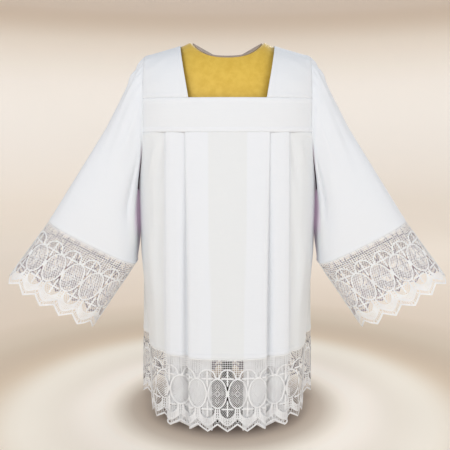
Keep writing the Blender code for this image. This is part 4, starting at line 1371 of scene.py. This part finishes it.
def white_cloth():
    recipe = Recipe("white_cotton", 0.82, Sheen_Weight=0.20, Sheen_Roughness=0.45, Specular_IOR_Level=0.25,
                    Emission_Strength=1.0)
    flat = recipe.cut((1, 1, 1))
    weave = recipe.math("MAXIMUM", recipe.bands(flat, "X", THREAD_PITCH), recipe.bands(flat, "Y", THREAD_PITCH))
    wrinkles = recipe.noise(flat, 16.0, 4.0, 0.55)
    slubs = recipe.noise(recipe.cut((18, 700, 1)), 1.0, 2.0)
    behind = recipe.put("ShaderNodeAttribute", attribute_name="backing_and_shade").outputs["Fac"]
    # a single layer is painted greyer and warmer, a painted shade of the dark inside
    base = recipe.blend(recipe.ramp(behind, -0.2, 1.0), COLOURS["single_cloth_painted_shade"], COLOURS["doubled_cloth"])
    # painted mauve shade where the attribute goes below zero: the groove and gap beside a sleeve
    base = recipe.blend(recipe.ramp(behind, 0.0, -1.4), base, COLOURS["shaded"])
    # a faint painted glow in the same gap, in place of light that comes through the thin cloth
    through = recipe.blend(recipe.ramp(behind, -0.3, -1.3), (0, 0, 0, 1), COLOURS["painted_glow"])
    recipe.tree.links.new(through, recipe.shader.inputs["Emission Color"])
    shade = recipe.math("MULTIPLY", recipe.ramp(slubs, 0.35, 0.75), 0.045)
    colour = recipe.blend(shade, base, (0.62, 0.63, 0.66, 1))
    broad = recipe.bump(wrinkles, 0.0035, 0.35)
    normal = recipe.bump(weave, 0.00006, 0.5, broad)
    return recipe.finish(colour, normal)


def inside_painted_shade():
    """The inner side, painted a dark mauve: painted shade for the inside of the garment."""
    recipe = Recipe("painted_inner_shade", 0.9, Specular_IOR_Level=0.15)
    flat = recipe.cut((1, 1, 1))
    weave = recipe.math("MAXIMUM", recipe.bands(flat, "X", THREAD_PITCH), recipe.bands(flat, "Y", THREAD_PITCH))
    mottle = recipe.ramp(recipe.noise(flat, 22.0), 0.3, 0.7)
    colour = recipe.blend(mottle, COLOURS["inside_painted_shade"], COLOURS["inside_painted_shade_deep"])
    return recipe.finish(colour, recipe.bump(weave, 0.00006, 0.5))


cloth, painted_inner_shade = white_cloth(), inside_painted_shade()
print(cloth.name, "has a thread every", THREAD_PITCH * 1000, "mm")

# %% [markdown]
# ## Lace thread and sewing thread
# Thread is twisted, so it catches the light in short slanted bands. The sewing thread is a touch darker than
# the cloth, which is what makes a row of stitches readable at all on white.

# %% The threads
TWIST_PITCH = 0.0011


def twisted(name, colour, shadow):
    recipe = Recipe(name, 0.72, Sheen_Weight=0.15, Specular_IOR_Level=0.30)
    flat = recipe.cut((1, 1, 1))
    slanted = recipe.bands(flat, "DIAGONAL", TWIST_PITCH)
    fuzz = recipe.noise(flat, 900.0, 2.0)
    worn = recipe.noise(flat, 40.0, 2.0)
    tint = recipe.blend(recipe.math("MULTIPLY", recipe.ramp(worn, 0.3, 0.7), 0.5), colour, shadow)
    return recipe.finish(tint, recipe.bump(fuzz, 0.00005, 0.4, recipe.bump(slanted, 0.00012, 0.6)))


lace_thread = twisted("lace_thread", COLOURS["thread"], (0.76, 0.76, 0.78, 1))
sewing_thread = twisted("sewing_thread", COLOURS["sewing"], (0.70, 0.71, 0.75, 1))
print(lace_thread.name, sewing_thread.name)

# %% [markdown]
# ## Gold cover
# The form wears a woven gold cover. Its weft is a coarser, lighter thread than its warp, so we let the
# crossing bands choose between two golds as well as raise the surface.

# %% The gold weave
GOLD_PITCH = 0.0022


def gold_cover():
    recipe = Recipe("gold_cover", 0.50, Sheen_Weight=0.35, Sheen_Roughness=0.35, Specular_IOR_Level=0.40)
    place = recipe.place()
    upright = recipe.bands(place, "X", GOLD_PITCH, 0.6)
    level = recipe.bands(place, "Z", GOLD_PITCH * 0.8, 0.6)
    weave = recipe.math("MAXIMUM", upright, level)
    mottle = recipe.noise(place, 60.0, 4.0, 0.6)
    share = recipe.math("MULTIPLY", recipe.math("ADD", weave, recipe.ramp(mottle, 0.3, 0.7)), 0.5)
    colour = recipe.blend(share, COLOURS["gold_deep"], COLOURS["gold_light"])
    soft = recipe.bump(recipe.noise(place, 14.0), 0.004, 0.2)
    return recipe.finish(colour, recipe.bump(weave, 0.00025, 0.7, soft))


gold = gold_cover()

# %% [markdown]
# ## The cap and the stand
# The cap of the neck is a pale moulded disc with a faint mottle. The stand is steel under dark satin paint:
# its roughness drifts a little, as rubbed paint does, and fine grain breaks up the highlight.


# %% Cap and stand
def pale_cap():
    recipe = Recipe("pale_cap", 0.80, Specular_IOR_Level=0.10)
    place = recipe.place()
    mottle = recipe.noise(place, 45.0, 5.0, 0.6)
    colour = recipe.blend(recipe.ramp(mottle, 0.3, 0.7), COLOURS["cap_deep"], COLOURS["cap_light"])
    return recipe.finish(colour, recipe.bump(recipe.noise(place, 320.0, 2.0), 0.0002, 0.4))


def dark_satin():
    recipe = Recipe("dark_satin_paint", 0.42, Metallic=0.8, Coat_Weight=0.25, Coat_Roughness=0.30)
    place = recipe.place()
    rubbed = recipe.noise(place, 24.0, 5.0, 0.6)
    colour = recipe.blend(recipe.ramp(rubbed, 0.35, 0.7), COLOURS["metal_deep"], COLOURS["metal_light"])
    roughness = recipe.put("ShaderNodeMapRange", {"Value": rubbed}, {"To Min": 0.34, "To Max": 0.52}).outputs[0]
    return recipe.finish(colour, recipe.bump(recipe.noise(place, 700.0, 2.0), 0.0001, 0.5), roughness)


cap_finish, stand_finish = pale_cap(), dark_satin()


def dress(piece, *materials):
    piece.data.materials.clear()
    for material in materials:
        piece.data.materials.append(material)


def shade_inner_threads(piece, middle):
    """Threads of a far side: their faces that look into the garment take the painted inner shade."""
    mesh = piece.data
    normals, centres = np.zeros(len(mesh.polygons) * 3), np.zeros(len(mesh.polygons) * 3)
    mesh.polygons.foreach_get("normal", normals)
    mesh.polygons.foreach_get("center", centres)
    inward = ((centres.reshape(-1, 3) - np.array(middle)) * normals.reshape(-1, 3)).sum(axis=1) < 0
    mesh.polygons.foreach_set("material_index", inward.astype(int))
    print(piece.name, "has", round(100 * inward.mean()), "% of its faces inside")


cloth_pieces = (skirt_front, skirt_back, yoke_front, yoke_back, strap_left, strap_right, sleeve_left, sleeve_right)
lace_pieces = (hem_lace_front, hem_lace_back) + tuple(piece for piece, _ in cuff_lace.values())
for pieces, finishes in ((cloth_pieces, (cloth, painted_inner_shade)), (lace_pieces, (lace_thread, painted_inner_shade)),
                         (seam_rows.values(), (sewing_thread,)), ((torso,), (gold,)), ((cap,), (cap_finish,))):
    for piece in pieces:
        dress(piece, *finishes)
shade_inner_threads(hem_lace_back, (0, 0, 0.1))
for word, side in (("left", -1), ("right", 1)):
    shade_inner_threads(cuff_lace[word, "back"][0], (side * 0.40, -0.05, 0.385))
for node in ("stand_pole", "stand_base"):
    metal = bpy.data.objects[node]
    for slot in metal.material_slots:
        slot.material = stand_finish
print(len(cloth_pieces), "pieces of cloth and", len(lace_pieces), "of lace are dressed")

# %% [markdown]
# ## The room
# A plain pale floor runs up into the wall in one sweep, a bowl that looks the same from every side. Its paint
# holds a painted shadow: very dark in the middle of the floor under the garment, and darker again in a ring
# round it. Beyond that it drifts from a light floor through a warm beige to a paler band behind the garment,
# a painted band of light, as studio paper looks under soft light. The paint also glows a little: painted light.

# %% Floor and backdrop
BOWL_FLOOR, BOWL_BEND, BOWL_HEIGHT = 3.4, 1.3, 3.2
# share of the way from the middle of the floor to the top of the wall, and the paint there, painted shadow and light
# included
BOWL_PAINT_AND_SHADE = (
    # the darkest stops, up to 0.034, are a painted shadow under the garment and round its hem
    (0.000, (0.16, 0.13, 0.12)), (0.024, (0.20, 0.16, 0.14)), (0.029, (0.43, 0.36, 0.30)),
    (0.034, (0.46, 0.39, 0.325)), (0.042, (0.72, 0.66, 0.58)), (0.048, (0.80, 0.74, 0.67)),
    # from 0.089 to 0.120 the paint darkens again: a painted shadow in a ring round the garment
    (0.060, (0.73, 0.67, 0.59)), (0.077, (0.75, 0.69, 0.60)), (0.089, (0.62, 0.52, 0.41)),
    (0.102, (0.55, 0.45, 0.35)), (0.120, (0.58, 0.49, 0.39)), (0.150, (0.67, 0.57, 0.47)),
    # 0.640 to 0.725 is a painted band of light on the sweep; above it the wall is darker
    (0.350, (0.76, 0.68, 0.59)), (0.550, (0.84, 0.76, 0.67)), (0.640, (0.88, 0.83, 0.77)),
    (0.725, (0.87, 0.83, 0.78)), (0.780, (0.74, 0.67, 0.59)), (0.820, (0.60, 0.51, 0.43)),
    (1.000, (0.64, 0.55, 0.46)),
)


def bowl_profile():
    """Radius and height along the sweep."""
    flat = [(radius, 0.0) for radius in np.linspace(0, BOWL_FLOOR, 24)]
    bend = [(BOWL_FLOOR + BOWL_BEND * math.sin(a), BOWL_BEND * (1 - math.cos(a)))
            for a in np.linspace(0, math.pi / 2, 16)]
    wall = [(BOWL_FLOOR + BOWL_BEND, z) for z in np.linspace(BOWL_BEND, BOWL_HEIGHT, 12)]
    return np.array(flat + bend[1:] + wall[1:])


def studio_bowl(columns=96):
    profile = bowl_profile()
    turn = 2 * np.pi * np.arange(columns) / columns
    radius, height = profile[1:, 0], profile[1:, 1]
    places = np.stack([radius[:, None] * np.sin(turn), radius[:, None] * np.cos(turn),
                       np.broadcast_to(height[:, None], (len(radius), columns))], -1).reshape(-1, 3)
    index = np.arange(len(places)).reshape(len(radius), columns) + 1
    wide = np.concatenate([index, index[:, :1]], 1)
    quads = np.stack([wide[:-1, :-1], wide[:-1, 1:], wide[1:, 1:], wide[1:, :-1]], -1).reshape(-1, 4)
    fan = [(0, int(wide[0, k]), int(wide[0, k + 1])) for k in range(columns)]
    lengths = np.concatenate([[0.0], np.cumsum(np.linalg.norm(np.diff(profile, axis=0), axis=1))])
    mesh = bpy.data.meshes.new("studio_bowl")
    mesh.from_pydata([(0, 0, 0)] + places.tolist(), [], quads.tolist() + fan)
    way = mesh.attributes.new("way", "FLOAT", "POINT")
    shares = np.concatenate([[0.0], np.repeat(lengths[1:] / lengths[-1], columns)])
    way.data.foreach_set("value", shares)
    mesh.shade_smooth()
    made = bpy.data.objects.new("studio_bowl", mesh)
    bpy.context.scene.collection.objects.link(made)
    return made


# %% Paint of the bowl
def studio_paint_with_painted_light():
    # the paint glows in its own colour: painted light, though the bowl is no lamp
    recipe = Recipe("studio_paint_with_painted_light", 0.9, Specular_IOR_Level=0.1, Emission_Strength=0.29)
    way = recipe.put("ShaderNodeAttribute", attribute_name="way").outputs["Fac"]
    ramp = recipe.put("ShaderNodeValToRGB", {"Fac": way})
    ramp.color_ramp.interpolation = "CARDINAL"
    for number, (share, colour) in enumerate(BOWL_PAINT_AND_SHADE):
        stop = ramp.color_ramp.elements[0] if number == 0 else ramp.color_ramp.elements.new(share)
        stop.position = share
        stop.color = colour + (1,)
    ramp.color_ramp.elements.remove(ramp.color_ramp.elements[-1])
    recipe.tree.links.new(ramp.outputs["Color"], recipe.shader.inputs["Emission Color"])
    return recipe.finish(ramp.outputs["Color"], recipe.bump(recipe.noise(recipe.place(), 3.0), 0.002, 0.2))


bowl = studio_bowl()
dress(bowl, studio_paint_with_painted_light())
bowl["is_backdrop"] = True
print("the bowl is", 2 * (BOWL_FLOOR + BOWL_BEND), "m across")

# %% [markdown]
# ## Light
# The photograph has very soft, even light, from above and in front. Large area lights give it, with a pale
# world to fill the shadows, and a weaker one behind so that the back reads as well.


# %% Lights
def soft_light(name, place, aim, size, power, colour=(1, 1, 1)):
    lamp = bpy.data.lights.new(name, "AREA")
    lamp.shape = "RECTANGLE"
    lamp.size, lamp.size_y = size
    lamp.energy = power
    lamp.color = colour
    made = bpy.data.objects.new(name, lamp)
    made.location = place
    made.rotation_euler = (Vector(aim) - Vector(place)).to_track_quat("-Z", "Y").to_euler()
    bpy.context.scene.collection.objects.link(made)
    return made


soft_light("key_light", (-1.4, -2.5, 1.8), (0, 0, 0.55), (1.6, 1.2), 31, (0.93, 0.965, 1.0))
soft_light("fill_light", (1.9, -2.2, 0.9), (0, 0, 0.50), (1.6, 1.4), 18, (0.91, 0.955, 1.0))
soft_light("back_light", (0.9, 2.3, 2.4), (0, 0, 0.60), (1.8, 1.2), 28, (0.92, 0.96, 1.0))
world = bpy.data.worlds.new("pale_room")
world.use_nodes = True
world.node_tree.nodes["Background"].inputs["Color"].default_value = (0.88, 0.93, 1.0, 1)
world.node_tree.nodes["Background"].inputs["Strength"].default_value = 0.43
bpy.context.scene.world = world
bpy.context.scene.view_settings.view_transform = "Standard"
print("the room is lit")

# %% [markdown]
# ## Handing the pieces over
# Every piece rides on the part's one body and stands for the solid that carries it in the simulation.

# %% Pieces and the solids they stand for
stands_for = {
    skirt_front: ("body_front", "cloth"), skirt_back: ("body_back", "cloth"),
    yoke_front: ("yoke_front", "cloth"), yoke_back: ("yoke_back", "cloth"),
    strap_left: ("strap_left", "cloth"), strap_right: ("strap_right", "cloth"),
    sleeve_left: ("sleeve_left", "cloth"), sleeve_right: ("sleeve_right", "cloth"),
    hem_lace_front: ("hem_lace_front", "lace"), hem_lace_back: ("hem_lace_back", "lace"),
    torso: ("form_torso", "gold_fabric"), cap: ("form_neck_cap", "neck_cap"),
}
for (word, place), (piece, _) in cuff_lace.items():
    stands_for[piece] = (f"cuff_lace_{word}_{place}", "lace")
for piece, (node, slot) in stands_for.items():
    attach(piece, "root")
    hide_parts(node)
for rows in seam_rows.values():
    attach(rows, "root")

# %% The flat area of the two body panels
HEM_CLOTH = YOKE_SEAM_Z - LACE_SEAM_Z


def panel_area(front):
    """Flat area of a body panel below its armholes."""
    u = np.linspace(-SIDE_CLOTH, SIDE_CLOTH, 600)
    return float((HEM_CLOTH - armhole_top(front, np.abs(u), body[front])).mean() * 2 * SIDE_CLOTH)


panel_area(True)
panel_area(False)

# %% [markdown]
# ## Sizes at the end
# The span of the visual model, without the backdrop, is printed. The visual model has to stay inside
# the box of the solids, with a little room for fabric that stands proud.

# %% Print the span and finish
low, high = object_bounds()
print("the visual model spans", [round(b - a, 3) for a, b in zip(low, high)], "m")
